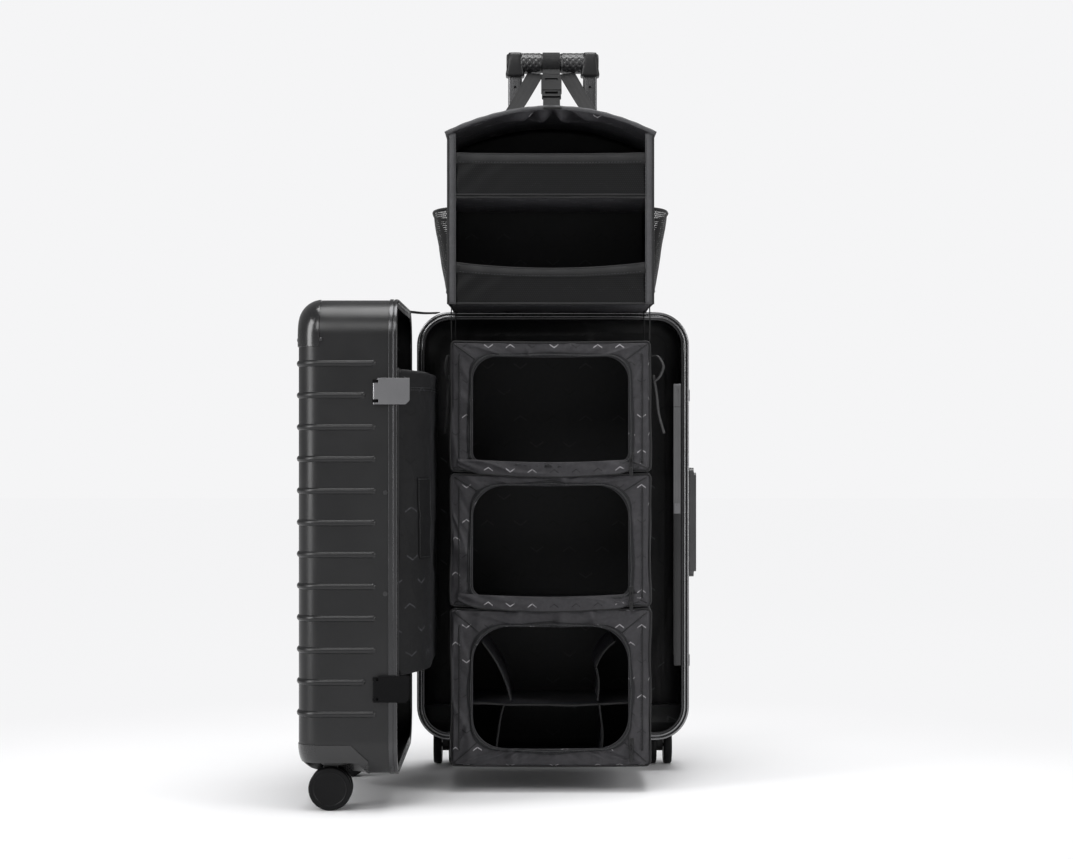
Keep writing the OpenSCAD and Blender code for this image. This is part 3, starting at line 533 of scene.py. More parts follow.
# Soft-touch ABS of the grip: a little lighter, so that its dimples read
GRIP_SKIN = plastic("soft-touch ABS", "#1a1a1b", "#202021", 0.33, 1.4, 0.0, 0.6)
# Black anodised aluminium of the rim frames: dark with a crisp edge line
FRAME = metal("black anodised aluminium", "#4c4c4d", "#3a3a3b", 0.25, 1, 0.4, 0.0)
# The rim's mating face: the same frame, diamond-cut bright on its two bands
RIM_FACE = metal("cut aluminium", "#8e8e8f", "#727273", 0.24, 1, 0.4, 0.0)
# Grey anodised tubes: drawn lengthways, so highlights run along them
TUBE = metal("drawn anodised aluminium", "#6b6b6c", "#434344", 0.26, 40, 0.9, 0.01)
# Bead-blasted zinc of the upper latch, with bright machined edges
LATCH = metal("blasted zinc", "#8e8e90", "#6a6a6b", 0.32, 1, 0.8, 0.02)
# The lower latch is the same casting in black lacquer
LATCH_BLACK = plastic("lacquered zinc", "#070708", "#0b0b0c", 0.34, 1.2, 0.02, 0.1)
# Zinc-plated steel of rivets, screws and pins
STEEL = metal("plated steel", "#515152", "#303031", 0.30, 1, 1.5, 0.01)
# Painted steel of the hinges and the lock's lower cover
PAINTED = plastic("powder-coated steel", "#262627", "#2e2e2f", 0.40, 1.6, 0.05, 0.5)
# Brushed strip of the lock, the lightest metal inside the rim
STRIP = metal("brushed zinc strip", "#808081", "#5d5d5e", 0.34, 30, 0.8, 0.01)
# Polyurethane tread: matt, with a slight bloom
TREAD = plastic("polyurethane tread", "#0b0b0c", "#111112", 0.52, 1.8, 0.08, 0.16)
# Nylon of the hubs: a shade smoother than the tread
HUB = plastic("hub nylon", "#0c0c0d", "#111112", 0.34, 2.0, 0.02, 0.2)
# Printed cloth of the organiser: matt charcoal with a faint weave and small chevrons in two tones
CLOTH = woven("printed polyester cloth", "#272629", "#353437", ("#131315", "#8f8d90"), pitch_mm=29)
# Plain facing of the front edges: a shade paler, so it outlines the openings
FACING = woven("paler facing cloth", "#38383a", "#464648", thread_mm=1.6, rough=0.6)
# Tape of the rolls and piping: near black and coarser, a dark line round each panel
BINDING = woven("binding tape", "#121213", "#1b1b1c", thread_mm=1.8, rough=0.66)
# Tape of the coil zips: flat, and darker than the cloth beside it
ZIP_TAPE = woven("zip tape", "#0e0e10", "#17171a", thread_mm=1.6, rough=0.7)
# Taffeta inside the organiser, darker than the outer cloth as painted shade: its print hardly shows and the
# inside reads as shaded
INSIDE = woven("inside taffeta with painted shade", "#0f0f12", "#17171a", ("#0a0a0c", "#26262a"), rough=0.55)
# Lining of both halves: a slight sheen lifts its waves out of the dark
LINING = woven("printed lining", "#161617", "#202022", ("#0a0a0c", "#404043"), rough=0.42, sheen=0.2)
# Cloth of the padded divider: a print of low contrast and little shine on its crown
DIVIDER = woven("padded divider cloth", "#111112", "#181819", ("#0b0b0c", "#39393c"), pitch_mm=38, shine=0.18,
                sheen=0.08)
# Sewn patch on the divider: plain and a touch darker than the cloth round it
PATCH = woven("sewn patch cloth", "#0c0c0d", "#121213", shine=0.15, sheen=0.05)
# Webbing of the straps: black, with fine slanted lines of light from its herringbone
WEBBING = ribbed_webbing("polyester webbing", "#070708", "#171718")
# The narrow side loops are the same webbing, coloured paler all over as a painted highlight
LOOP = ribbed_webbing("side loop webbing", "#1c1c1d", "#343435")
# Mesh of the pockets: an open black net that darkens what is behind it
MESH = knitted_mesh("knitted mesh", "#060607", "#141415")
# Coil of the zips and thread of the stitches: rows of small glossy highlights
COIL = coil_thread("nylon coil", "#101113", "#222326")


# Moulded halves: built in the half frame, which is across, depth from the rim, height from the middle

RIB_Z = [SHELL_LOW + 79 * MM + 40 * MM * k for k in range(12)]
RIB_END, SHORT_RIB_END, SHORT_RIBS = 31 * MM, 44 * MM, (1, 10)
ARCH_R = 33.5 * MM
CHAMFER = 21 * MM
THIN = 0.01 * MM


def to_back(p):
    """Half frame to the back half: across is X, depth is Y."""
    return np.asarray(p, dtype=float) + [0, 0, MID_Z]


def to_front(p):
    """Half frame to the open front half: depth runs to -X and across runs to -Y from the hinge."""
    p = np.asarray(p, dtype=float)
    return stack(HINGE_X - p[..., 1], HINGE_X - p[..., 0], p[..., 2] + MID_Z)


HALVES = (("back", to_back, BACK), ("front", to_front, FRONT))


def rib_height(z, depth):
    """Height of the rods on the wall: arcs 8 mm wide and 2.5 mm high, with round ends short of the rim."""
    arc_r = (RIB_HALF ** 2 + RIB_H ** 2) / (2 * RIB_H)
    out = np.zeros(np.broadcast(z, depth).shape)
    for k, rib_z in enumerate(RIB_Z):
        end = SHORT_RIB_END if k in SHORT_RIBS else RIB_END
        away = np.hypot(z - rib_z, np.maximum(0, end - depth))
        out = np.maximum(out, np.sqrt(np.clip(arc_r ** 2 - away ** 2, 0, None)) - (arc_r - RIB_H))
    return np.clip(out, 0, None)


def span_samples(half, extra):
    """Samples from -half to half: even steps round each 30 mm edge, with the extra ones between."""
    arc = EDGE_R * (1 - np.cos(np.linspace(0, math.pi / 2, 14)))
    rise = -half + np.concatenate([arc, mm(33, 36, 39, 42.5), [CORNER_R]])
    body = np.array(sorted(extra))
    body = body[np.abs(body) < half - CORNER_R - 1 * MM]
    return np.concatenate([rise, body, -rise[::-1]])


def half_skin():
    """Outer face of one half.

    A grid over the face is laid on a rounded rectangle: in each corner square a point at (p, q) goes to
    radius max(p, q) R and angle 45 q / p degrees. Its inset e from the outline then gives the depth
    D - r + sqrt(r^2 - (r - e)^2), and strips go down the wall from the outline to the rim.
    """
    half_w, half_h = CASE_W / 2, SHELL_H / 2
    rod = mm(-4.2, -4, -3.7, -3, -2, -0.9, 0, 0.9, 2, 3, 3.7, 4, 4.2)
    rows = [z + o for z in RIB_Z for o in rod] + [z + o * MM for z in RIB_Z for o in (12, 20, 28)]
    ga, gz = grid(span_samples(half_w, np.linspace(-half_w, half_w, 24)),
                  span_samples(half_h, np.array(rows) - MID_Z))
    p = np.clip((np.abs(ga) - (half_w - CORNER_R)) / CORNER_R, 0, 1)
    q = np.clip((np.abs(gz) - (half_h - CORNER_R)) / CORNER_R, 0, 1)
    m = np.maximum(p, q)
    lean = np.minimum(p, q) / np.maximum(m, 1e-9) * math.pi / 4
    angle = np.where(p >= q, lean, math.pi / 2 - lean)
    in_corner = (p > 0) & (q > 0)
    out_a = np.where(in_corner, half_w - CORNER_R + CORNER_R * m * np.cos(angle), np.abs(ga))
    out_z = np.where(in_corner, half_h - CORNER_R + CORNER_R * m * np.sin(angle), np.abs(gz))
    inset = np.where(in_corner, CORNER_R * (1 - m), np.minimum(half_w - np.abs(ga), half_h - np.abs(gz)))
    short = np.clip(EDGE_R - inset, 0, EDGE_R)
    rise = np.sqrt(np.clip(EDGE_R ** 2 - short ** 2, 0, None))
    depth = HALF_D - EDGE_R + rise
    side = np.where(in_corner, np.cos(angle), (half_w - np.abs(ga) < half_h - np.abs(gz)) * 1.0)
    up = np.where(in_corner, np.sin(angle), 1.0 - side)
    height = rib_height(gz + MID_Z, depth)
    face = stack(np.sign(ga) * (out_a + height * short / EDGE_R * side), depth + height * rise / EDGE_R,
                 np.sign(gz) * (out_z + height * short / EDGE_R * up))
    na, nz = face.shape[:2]
    index = np.arange(na * nz).reshape(na, nz)
    ring = np.concatenate([index[:-1, 0], index[-1, :-1], index[:0:-1, -1], index[0, :0:-1]])
    top, flat = face.reshape(-1, 3)[ring], stack(ga, gz).reshape(-1, 2)[ring]
    over = top[:, [0, 2]] - np.sign(flat) * (np.array([half_w, half_h]) - CORNER_R)
    on_arc = (np.abs(top[:, 0]) > half_w - CORNER_R) & (np.abs(top[:, 2]) > half_h - CORNER_R)
    on_side = np.abs(flat[:, 0]) > half_w - 1e-6
    flat_n = np.where(on_side[:, None], np.sign(flat) * [1, 0], np.sign(flat) * [0, 1])
    normal = np.where(on_arc[:, None], over / np.linalg.norm(over, axis=1, keepdims=True), flat_n)
    base = top[:, [0, 2]] - normal * rib_height(flat[:, 1] + MID_Z, HALF_D - EDGE_R)[:, None]
    # Depths of the wall's strips, closest at the ends of the rods
    steps = mm(90, 80, 70, 60, 52, 46, 44.5, 43, 41.5, 40.5, 40, 38, 34, 31, 30, 28.5, 27.6, 27, 26.7,
               20, 12, 6, BEZEL_T / MM)
    wall = []
    for d in steps:
        moved = base + normal * (rib_height(base[:, 1] + MID_Z, d) * on_side * ~on_arc)[:, None]
        wall.append(stack(moved[:, 0], d, moved[:, 1]))
    low = na * nz + np.arange(len(steps) * len(ring)).reshape(len(steps), len(ring))
    chain = np.vstack([ring, low])
    nxt = np.roll(chain, -1, axis=1)
    strips = np.stack([chain[:-1], chain[1:], nxt[1:], nxt[:-1]], axis=-1).reshape(-1, 4)
    verts = np.vstack([face.reshape(-1, 3), np.array(wall).reshape(-1, 3)])
    return verts, np.vstack([grid_faces(na, nz), strips])


def skin_object(name):
    """The open skin of a half, faces out."""
    verts, faces = half_skin()
    obj = new_object(name, verts, faces)
    outward_open(obj, mm(0, 60, 0))
    return obj, verts, faces


def half_form(offset):
    """The closed form of a half, moved out by offset mm."""
    skin, verts, faces = skin_object("form")
    normals = np.empty(len(verts) * 3)
    skin.data.vertices.foreach_get("normal", normals)
    discard([skin])
    use = np.bincount(np.asarray(faces).ravel(), minlength=len(verts))
    ring = len(verts) - int(np.sum(use[len(verts) // 2:] == 2))
    moved = verts + normals.reshape(-1, 3) * offset * MM
    return outward(new_object("form", moved, [*faces, list(range(ring, len(verts)))]))


def block_bounds():
    """Inner face, inner depth and top of the blocks at the lower corners, from the housings."""
    co = points_of(frame["nodes"]["back_wheel_housings"])
    return np.abs(co[:, 0]).min(), co[:, 1].min(), co[:, 2].max() - MID_Z


def blocks(grow):
    """Solids over both lower corner blocks, grown by mm, with the seam's chamfer at their inner top edges."""
    inner, deep, top = block_bounds()
    grow = grow * MM
    # The chamfer's face moves out by the same amount: 0.586 is 2 - sqrt(2)
    a, d, t, slope = inner - grow, deep - grow, top + grow, CHAMFER + 0.586 * grow
    low, far_a, far_d = -MID_Z - 5 * MM, CASE_W, 2 * HALF_D
    points = [(a, d, low), (far_a, d, low), (far_a, far_d, low), (a, far_d, low),
              (a, d, t - slope), (a, far_d, t - slope), (far_a, d, t - slope),
              (a + slope, d + slope, t), (a + slope, far_d, t), (far_a, d + slope, t), (far_a, far_d, t)]
    faces = [(0, 1, 2, 3), (7, 9, 10, 8), (4, 7, 8, 5), (4, 6, 9, 7), (0, 3, 5, 4), (0, 4, 6, 1),
             (1, 6, 9, 10, 2), (3, 2, 10, 8, 5)]
    pair = [new_object("block", [(s * x, y, z) for x, y, z in points], faces, smooth=False) for s in (-1, 1)]
    return join("blocks", [outward(block) for block in pair])


def post_slots():
    """Boxes through the top wall, 0.7 mm clear of both posts."""
    co = points_of(frame["nodes"]["middle_tubes"])
    middle = (co[:, 0].min() + co[:, 0].max()) / 2
    slots = []
    for side in (co[co[:, 0] < middle], co[co[:, 0] > middle]):
        lo, hi = side.min(axis=0) - 0.7 * MM, side.max(axis=0) + 0.7 * MM
        lo[2], hi[2] = SHELL_TOP - 8 * MM - MID_Z, SHELL_TOP + 8 * MM - MID_Z
        slots.append(outward(new_object("slot", *rounded_box((lo + hi) / 2, (hi - lo) / 2, 2 * MM))))
    return join("slots", slots)


def settle(obj, place, degrees):
    """Moves a mesh from the half frame to its half, faces out, with sharp edges past an angle."""
    obj.data.vertices.foreach_set("co", place(points_of(obj)).ravel())
    return crease(outward(obj), degrees)


def shells():
    """Both moulded halves, 2.5 mm thick, open where the wheel housings sit and the posts come through."""
    for side, place, body in HALVES:
        obj = thicken(skin_object(side + "_moulded_shell")[0], SHELL_T, -1)
        cut(obj, [blocks(0.0)] + ([post_slots()] if side == "back" else []))
        dress(settle(obj, place, 40), body, SHELL, "shell", side + "_shell")


def wheel_housings():
    """Housings: the form 1 mm out within the corner blocks, with a round well, two arches and a stem bore."""
    swivel = next(j for j in frame["joints"] if j["name"] == "back_right_swivel")["pos_m"]
    across, deep = abs(float(swivel[0])), float(swivel[1])
    wheel_lo, wheel_hi = span("back_right_wheels")
    sweep = across - block_bounds()[0] - 2.6 * MM
    up = (0, 0, 1)
    for side, place, body in HALVES:
        obj = cut(half_form(1.0), [blocks(0.0)], "INTERSECT")
        tools = []
        for s in (-1, 1):
            foot = np.array([s * across, deep, -MID_Z - 1 * MM])
            hub = np.array([s * across, deep, -MID_Z + (wheel_hi[2] - wheel_lo[2]) / 2])
            for r, tall, at, axis, side_way in ((sweep, 62.5 * MM, foot, up, (1, 0, 0)),
                                                (5.4 * MM, 76 * MM, foot, up, (1, 0, 0)),
                                                (ARCH_R, 0.2, hub, (s, 0, 0), up),
                                                (ARCH_R, 0.2, hub, (0, 1, 0), up)):
                rod = [(THIN, 0), (r, 0), (r, tall), (THIN, tall)]
                tools.append(revolve("tool", rod, at, axis, side_way))
        cut(obj, tools)
        obj.name = side + "_housings"
        settle(obj, place, 40)
        round_edges(obj, 0.5 * MM, 40)
        dress(obj, body, GUARD, "gloss_black", side + "_wheel_housings")


def guard_screws():
    """Two small dished screws in each upper corner guard: one in the wall, one in the broad face."""
    head = mm((0.05, -0.6), (2.3, -0.6), (2.3, 0.35), (1.9, 0.8), (1.2, 0.9), (1.0, 0.45), (0.05, 0.35))
    z = SHELL_TOP - 51 * MM - MID_Z
    for side, place, body in HALVES:
        pieces = []
        for s in (-1, 1):
            wall = (s * (CASE_W / 2 + 1.4 * MM), HALF_D - 30 * MM, z)
            face = (s * (CASE_W / 2 - 32 * MM), HALF_D + 1.4 * MM, z)
            pieces += [revolve("screw", head, at, axis, (0, 0, 1), 20)
                       for at, axis in ((wall, (s, 0, 0)), (face, (0, 1, 0)))]
        dress(settle(join(side + "_guard_screws", pieces), place, 30), body, STEEL, "rivet")


def outline(half_w, half_h, radius, per_side, per_corner=14):
    """Rounded rectangle as points and outward normals, counterclockwise from the lower right corner."""
    points, normals = [], []
    for k, (sx, sz) in enumerate(((1, -1), (1, 1), (-1, 1), (-1, -1))):
        t = np.linspace(-90 + 90 * k, 90 * k, per_corner) * math.pi / 180
        n = stack(np.cos(t), np.sin(t))
        points.append(np.array([sx * (half_w - radius), sz * (half_h - radius)]) + radius * n)
        normals.append(n)
    share = (np.arange(1, per_side) / per_side)[:, None]
    out_p, out_n = [], []
    for k in range(4):
        out_p += [points[k], points[k][-1] * (1 - share) + points[(k + 1) % 4][0] * share]
        out_n += [normals[k], np.repeat(normals[k][-1:], per_side - 1, axis=0)]
    return np.concatenate(out_p), np.concatenate(out_n)


def round_off(corners, radius, steps=3):
    """A closed 2-D profile with its corners rounded by arcs."""
    corners = np.array(corners, dtype=float)
    out = []
    for i, c in enumerate(corners):
        a, b = corners[i - 1] - c, corners[(i + 1) % len(corners)] - c
        r = min(radius, np.linalg.norm(a) / 2.01, np.linalg.norm(b) / 2.01)
        pa, pb = c + a / np.linalg.norm(a) * r, c + b / np.linalg.norm(b) * r
        out += [(1 - t) ** 2 * pa + 2 * t * (1 - t) * c + t ** 2 * pb for t in np.linspace(0, 1, steps + 1)]
    return np.array(out)


def rim_frames():
    """Extruded rims: a flange over the wall, and a face of two crowned bands with a groove and a seal."""
    profile = round_off(mm(
        (1.5, 1.1), (1.5, 4.4), (0.9, 4.9), (0.9, 5.5), (1.5, 6), (1.5, 11), (0.2, 11), (0.05, BEZEL_T / MM),
        (-10, BEZEL_T / MM), (-10, 1.3), (-8.6, 0.9), (-7.2, 0.9), (-6.6, 0.6), (-5.9, 0.15), (-5.0, 0),
        (-4.1, 0.15), (-3.5, 0.6), (-3.3, 1.5), (-2.1, 1.5), (-1.9, 0.6), (-1.3, 0.15), (-0.4, 0),
        (0.5, 0.15), (1.2, 0.6)), 0.45 * MM)
    pts, nrm = outline(CASE_W / 2, SHELL_H / 2, CORNER_R, 3)
    rows = np.array([stack(pts[:, 0] + nrm[:, 0] * o, d, pts[:, 1] + nrm[:, 1] * o) for o, d in profile])
    for side, place, body in HALVES:
        obj = crease(surface(side + "_rim", place(rows), close_u=True, close_v=True), 50)
        dress(obj, body, FRAME, "frame", side + "_rim_frame")
        depth = (lambda c: c[:, 1]) if side == "back" else (lambda c: HINGE_X - c[:, 0])
        second_finish(obj, RIM_FACE, lambda c, depth=depth: depth(c) < 0.5 * MM)


def linings():
    """Each lining as one tray: down the wall from the rim, round the edge, and in over the floor in rings.

    At ring parameter t the tray goes from the rim to the wall's foot, round an arc of 24.5 mm, then over
    the floor to its middle. Soft waves of 1 mm along the wall make it cloth over a shell. The wheel blocks
    are cut out.
    """
    arc, inset = 24.5 * MM, 4.6 * MM
    half_w, half_h = CASE_W / 2 - inset, SHELL_H / 2 - inset
    # Depths of the floors in metres: the back one lies over the handle's sleeves
    for (side, place, body), depth in zip(HALVES, (0.0815, 0.1195)):
        rings = [(0.0, d) for d in np.linspace(BEZEL_T, depth - arc, 16)]
        rings += [(arc * (1 - math.cos(t)), depth - arc + arc * math.sin(t))
                  for t in np.linspace(0.12, math.pi / 2, 9)]
        rings += [(e, depth) for e in np.linspace(arc, half_w, 40)[1:]]
        down = run_length(np.array(rings))
        rows, uv = [], []
        for (e, d), run in zip(rings, down):
            radius = max(CORNER_R - inset - e, 0.2 * MM)
            pts, _ = outline(half_w - min(e, half_w - 0.5 * MM), half_h - e, radius, 50)
            rows.append(stack(pts[:, 0], d, pts[:, 1]))
            uv.append(pts if d > depth - 0.1 * MM else stack(run_length(rows[0][:, [0, 2]]), run))
        p = np.array(rows)
        loose = np.clip((p[..., 1] - 12 * MM) / (20 * MM), 0, 1)
        wave = np.abs(smooth_noise(p, 90, 11)) * 1.2 + creases(p * [1, 1, 0.5], 80, 13) * 1.6
        inward = -p * [1, 0, 1] / (np.linalg.norm(p * [1, 0, 1], axis=-1, keepdims=True) + 1e-9)
        on_floor = np.clip((p[..., 1] - depth + arc) / arc, 0, 1)[..., None] ** 2
        p += (inward * (1 - on_floor) + np.array([0, -1.0, 0]) * on_floor) * (wave * loose * MM)[..., None]
        obj = surface(side + "_lining_cloth", place(p), close_v=True, uv=np.array(uv))
        outward_open(obj, place(np.array([0, depth * 0.5, 0])))
        flip(obj)
        thicken(obj, 1.2 * MM, -1)
        crease(cut(obj, [settle(blocks(1.0), place, 40)]), 60)
        dress(obj, body, LINING, "lining", side + "_lining")


def block_covers():
    """Lining over the inner faces of the corner blocks: 2 mm of the block's form grown, within the shell."""
    for side, place, body in HALVES:
        obj = cut(cut(half_form(-3.2), [blocks(2.3)], "INTERSECT"), [blocks(0.3)])
        obj.name = side + "_block_lining"
        co = points_of(obj)
        set_uv(obj.data, stack(co[:, 0] + co[:, 1], co[:, 2]))
        dress(settle(obj, place, 40), body, LINING, "lining")


def lock_details():
    """Cap, split line and lower cover of the lock strip: low rounded plates just proud of its face; the split
    line is a thin dark plate, painted shade of its groove.
    """
    (lo, hi), (strip_lo, strip_hi) = span("lock_bar"), span("lock_fittings")
    top = strip_hi[2]
    # Foot and top of each plate in metres, and half its width in mm
    cap = ((top - 1.8 * MM, top + 0.2 * MM, 5.0),)
    # The thin second plate is the split line: a dark strip of painted shade in place of a groove
    cover = ((strip_lo[2] + 1 * MM, 0.3625, 4.9), (0.5125, 0.5133, 4.9))
    for name, finish, spans in (("lock_strip_cap", LATCH, cap), ("lock_lower_cover", PAINTED, cover)):
        plates = []
        for low, high, half in spans:
            middle = ((lo[0] + hi[0]) / 2, -0.2 * MM, (low + high) / 2)
            box = rounded_box(middle, (half * MM, 0.4 * MM, (high - low) / 2), 0.25 * MM)
            plates.append(outward(new_object("plate", *box)))
        dress(join(name, plates), BACK, finish, "hinge")
    second_finish(bpy.data.objects["lock_bar_finished"], LATCH, lambda c: c[:, 1] < 0.2 * MM)


def hard_parts():
    """Metal and moulded pieces whose CAD form is right, with their edges rounded."""
    groups = (
        (GUARD, "gloss_black", 0.5, "back_corner_guards front_corner_guards"),
        (PAINTED, "hinge", 0.25, "back_hinge_leaves front_hinge_leaves"),
        (STRIP, "hinge", 0.25, "lock_fittings lock_bar"),
        (STEEL, "rivet", 0.0, "back_rivets front_rivets hinge_pins"),
        (LATCH, "latch", 0.8, "upper_latch"),
        (LATCH_BLACK, "latch", 0.8, "latch_bases lower_latch"),
        (ABS, "dark_plastic", 0.5, "trolley_bezel release_button"),
        (BUCKLE, "dark_plastic", 0.5, "buckle_socket buckle_prongs"),
        (HANDLE, "dark_plastic", 0.9, "side_handle_base side_handle_grip"),
        (TUBE, "tube", 0.5, "trolley_sleeves middle_tubes grip_tubes"),
    )
    for finish, slot_name, bevel, nodes in groups:
        for node in nodes.split():
            copy = cad_copy(node, node + "_finished", bevel)
            dress(copy, frame["nodes"][node]["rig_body"], finish, slot_name, node)


# Cloth, webbing and thread

def rounded(centre, half_w, half_h, radii, per_corner, per_side):
    """Rounded rectangle with a radius for each corner, from the lower right one round to the lower left.

    Gives its points and outward normals; equal counts let two such outlines be lofted point to point.
    """
    points, normals = [], []
    for k, ((sx, sz), r) in enumerate(zip(((1, -1), (1, 1), (-1, 1), (-1, -1)), radii)):
        t = np.radians(np.linspace(-90 + 90 * k, 90 * k, per_corner))
        n = stack(np.cos(t), np.sin(t))
        points.append(np.array([sx * (half_w - r), sz * (half_h - r)]) + r * n)
        normals.append(n)
    s = (np.arange(1, per_side + 1) / (per_side + 1))[:, None]
    out_p, out_n = [], []
    for k in range(4):
        out_p += [points[k], points[k][-1] * (1 - s) + points[(k + 1) % 4][0] * s]
        out_n += [normals[k], np.repeat(normals[k][-1:], per_side, axis=0)]
    return np.concatenate(out_p) + np.array(centre), np.concatenate(out_n)


def along(at, s, path):
    """Points at the distances at, on a path whose own distances are s."""
    return stack(*(np.interp(at, s, path[:, k]) for k in range(3)))


def smooth_path(points, count):
    """Catmull-Rom curve through the points, count samples evenly spaced along it."""
    p = np.array(points, dtype=float)
    p = np.vstack([2 * p[0] - p[1], p, 2 * p[-1] - p[-2]])
    t = np.linspace(0, 1, 24, endpoint=False)[:, None]
    parts = []
    for i in range(1, len(p) - 2):
        a, b, c, d = p[i - 1:i + 3]
        square, cube = 2 * a - 5 * b + 4 * c - d, 3 * b - a - 3 * c + d
        parts.append(0.5 * (2 * b + (c - a) * t + square * t ** 2 + cube * t ** 3))
    dense = np.vstack(parts + [p[-2][None]])
    s = run_length(dense)
    return along(np.linspace(0, s[-1], count), s, dense)


def unit(v):
    """Vectors of length 1."""
    return v / np.linalg.norm(v, axis=1, keepdims=True)


def frames(path, up, close=False):
    """Tangent, side and normal of a path; up is the direction that the normal keeps to."""
    ahead = np.roll(path, -1, axis=0) - np.roll(path, 1, axis=0)
    if not close:
        ahead[0], ahead[-1] = path[1] - path[0], path[-1] - path[-2]
    t = unit(ahead)
    side = unit(np.cross(t, np.broadcast_to(np.asarray(up, dtype=float), t.shape)))
    return t, side, np.cross(side, t)


def tube(name, path, radius, up=(0, 1, 0.01), sides=8, close=False, uv=True):
    """Round section carried along a path; radius is one value or one per point, in mm."""
    path = np.asarray(path, dtype=float)
    _, side, normal = frames(path, up, close)
    angle = np.linspace(0, math.tau, sides, endpoint=False)
    ring = side[:, None] * np.cos(angle)[None, :, None] + normal[:, None] * np.sin(angle)[None, :, None]
    radius = radius * MM
    points = path[:, None] + np.broadcast_to(radius, len(path))[:, None, None] * ring
    cloth = stack(angle[None] * np.max(radius), run_length(path)[:, None]) if uv else None
    return surface(name, points, close_u=close, close_v=True, cap=not close, uv=cloth)


def ribbon(name, path, across, width, thick):
    """Webbing: a flat section in mm with round edges, carried along a path, its width along across."""
    path = np.asarray(path, dtype=float)
    t, _, _ = frames(path, across)
    across = np.broadcast_to(np.asarray(across, dtype=float), path.shape)
    across = unit(across - np.sum(across * t, axis=1, keepdims=True) * t)
    h, w = thick * MM / 2, width * MM / 2
    half = [(-w, 0), (-w + 0.3 * h, -0.8 * h), (-w + h, -h), (0, -h), (w - h, -h), (w - 0.3 * h, -0.8 * h)]
    section = np.array(half + [(-x, -z) for x, z in half])
    points = path[:, None] + across[:, None] * section[:, :1] + np.cross(t, across)[:, None] * section[:, 1:]
    uv = stack(section[None, :, 0], run_length(path)[:, None])
    return surface(name, points, close_v=True, cap=True, uv=uv)


def stitches(name, path, out, pitch=4.2, length=2.9):
    """A row of thread stitches: each is a spindle of 6 sides and 5 rings along the path, on its out side."""
    path = np.asarray(path, dtype=float)
    s = run_length(path)
    at = np.arange(pitch * MM / 2, s[-1], pitch * MM)
    centre = along(at, s, path)
    t = unit(along(at + 0.5 * MM, s, path) - along(at - 0.5 * MM, s, path))
    side = unit(np.cross(t, np.asarray(out, dtype=float)))
    normal = np.cross(side, t)
    a = np.linspace(0, math.tau, 6, endpoint=False)[:, None]
    x = np.array([-0.5, -0.35, 0, 0.35, 0.5]) * length * MM
    r = np.array([0.25, 0.85, 1, 0.85, 0.25]) * 0.42 * MM
    ring = side[:, None, None] * np.cos(a) + normal[:, None, None] * np.sin(a)
    points = centre[:, None, None] + t[:, None, None] * x[None, :, None, None] + ring * r[None, :, None, None]
    one = grid_faces(5, 6, close_v=True).tolist() + [list(range(5, -1, -1)), list(range(24, 30))]
    faces = [[30 * k + i for i in face] for k in range(len(at)) for face in one]
    return outward(new_object(name, points.reshape(-1, 3), faces))


def thread(name, rows, out, body=BACK, **sizes):
    """Rows of stitches as one piece."""
    return dress(join(name, [stitches("row", row, out, **sizes) for row in rows]), body, COIL, "cloth")


def binding(name, path, radius, body=BACK, finish=BINDING, **shape):
    """A rolled edge or piping along a path, radius in mm."""
    return dress(tube(name, path, radius, **shape), body, finish, "cloth")


def flat_size(p):
    """(width, length) of the cloth that a grid of points takes, from its mean row lengths."""
    return tuple(float(np.mean(np.sum(np.linalg.norm(np.diff(p, axis=k), axis=-1), axis=k))) for k in (0, 1))


# Hanging cubes

ORG_X = (span("lower_cube")[0][0] + span("upper_cube")[1][0]) / 2
FRONT_Y = span("upper_cube")[0][1]
MOUTH_HALF = 104 * MM
PER_CORNER, PER_SIDE = 11, 80
TURN = PER_CORNER + PER_SIDE
# Name, mouth's foot and top in mm below the cube's top, radii of its lower and upper corners, seed, looseness
CUBES = (
    ("upper", (161, 20), (12, 33), 5, 1.7),
    ("middle", (163.4, 15), (14, 44), 7, 2.3),
    ("lower", (185.8, 23), (40, 50), 9, 3.0),
)


def mouth_outline(which):
    """Outline of a cube's mouth and its normals: round upper corners, tighter lower ones, sagging edges."""
    name, (low, high), (r_low, r_high) = which[:3]
    mid_z = span(name + "_cube")[1][2] - (low + high) / 2 * MM
    radii = mm(r_low, r_high, r_high, r_low)
    pts, nrm = rounded((ORG_X, mid_z), MOUTH_HALF, (low - high) / 2 * MM, radii, PER_CORNER, PER_SIDE)
    u = np.clip((pts[:, 0] - ORG_X) / MOUTH_HALF, -1, 1)
    pts[:, 1] -= 3.0 * MM * (1 - u ** 2) * (pts[:, 1] > mid_z) * 0.7
    pts[:, 1] -= 2.5 * MM * (1 - u ** 2) * (pts[:, 1] < mid_z)
    return pts, nrm


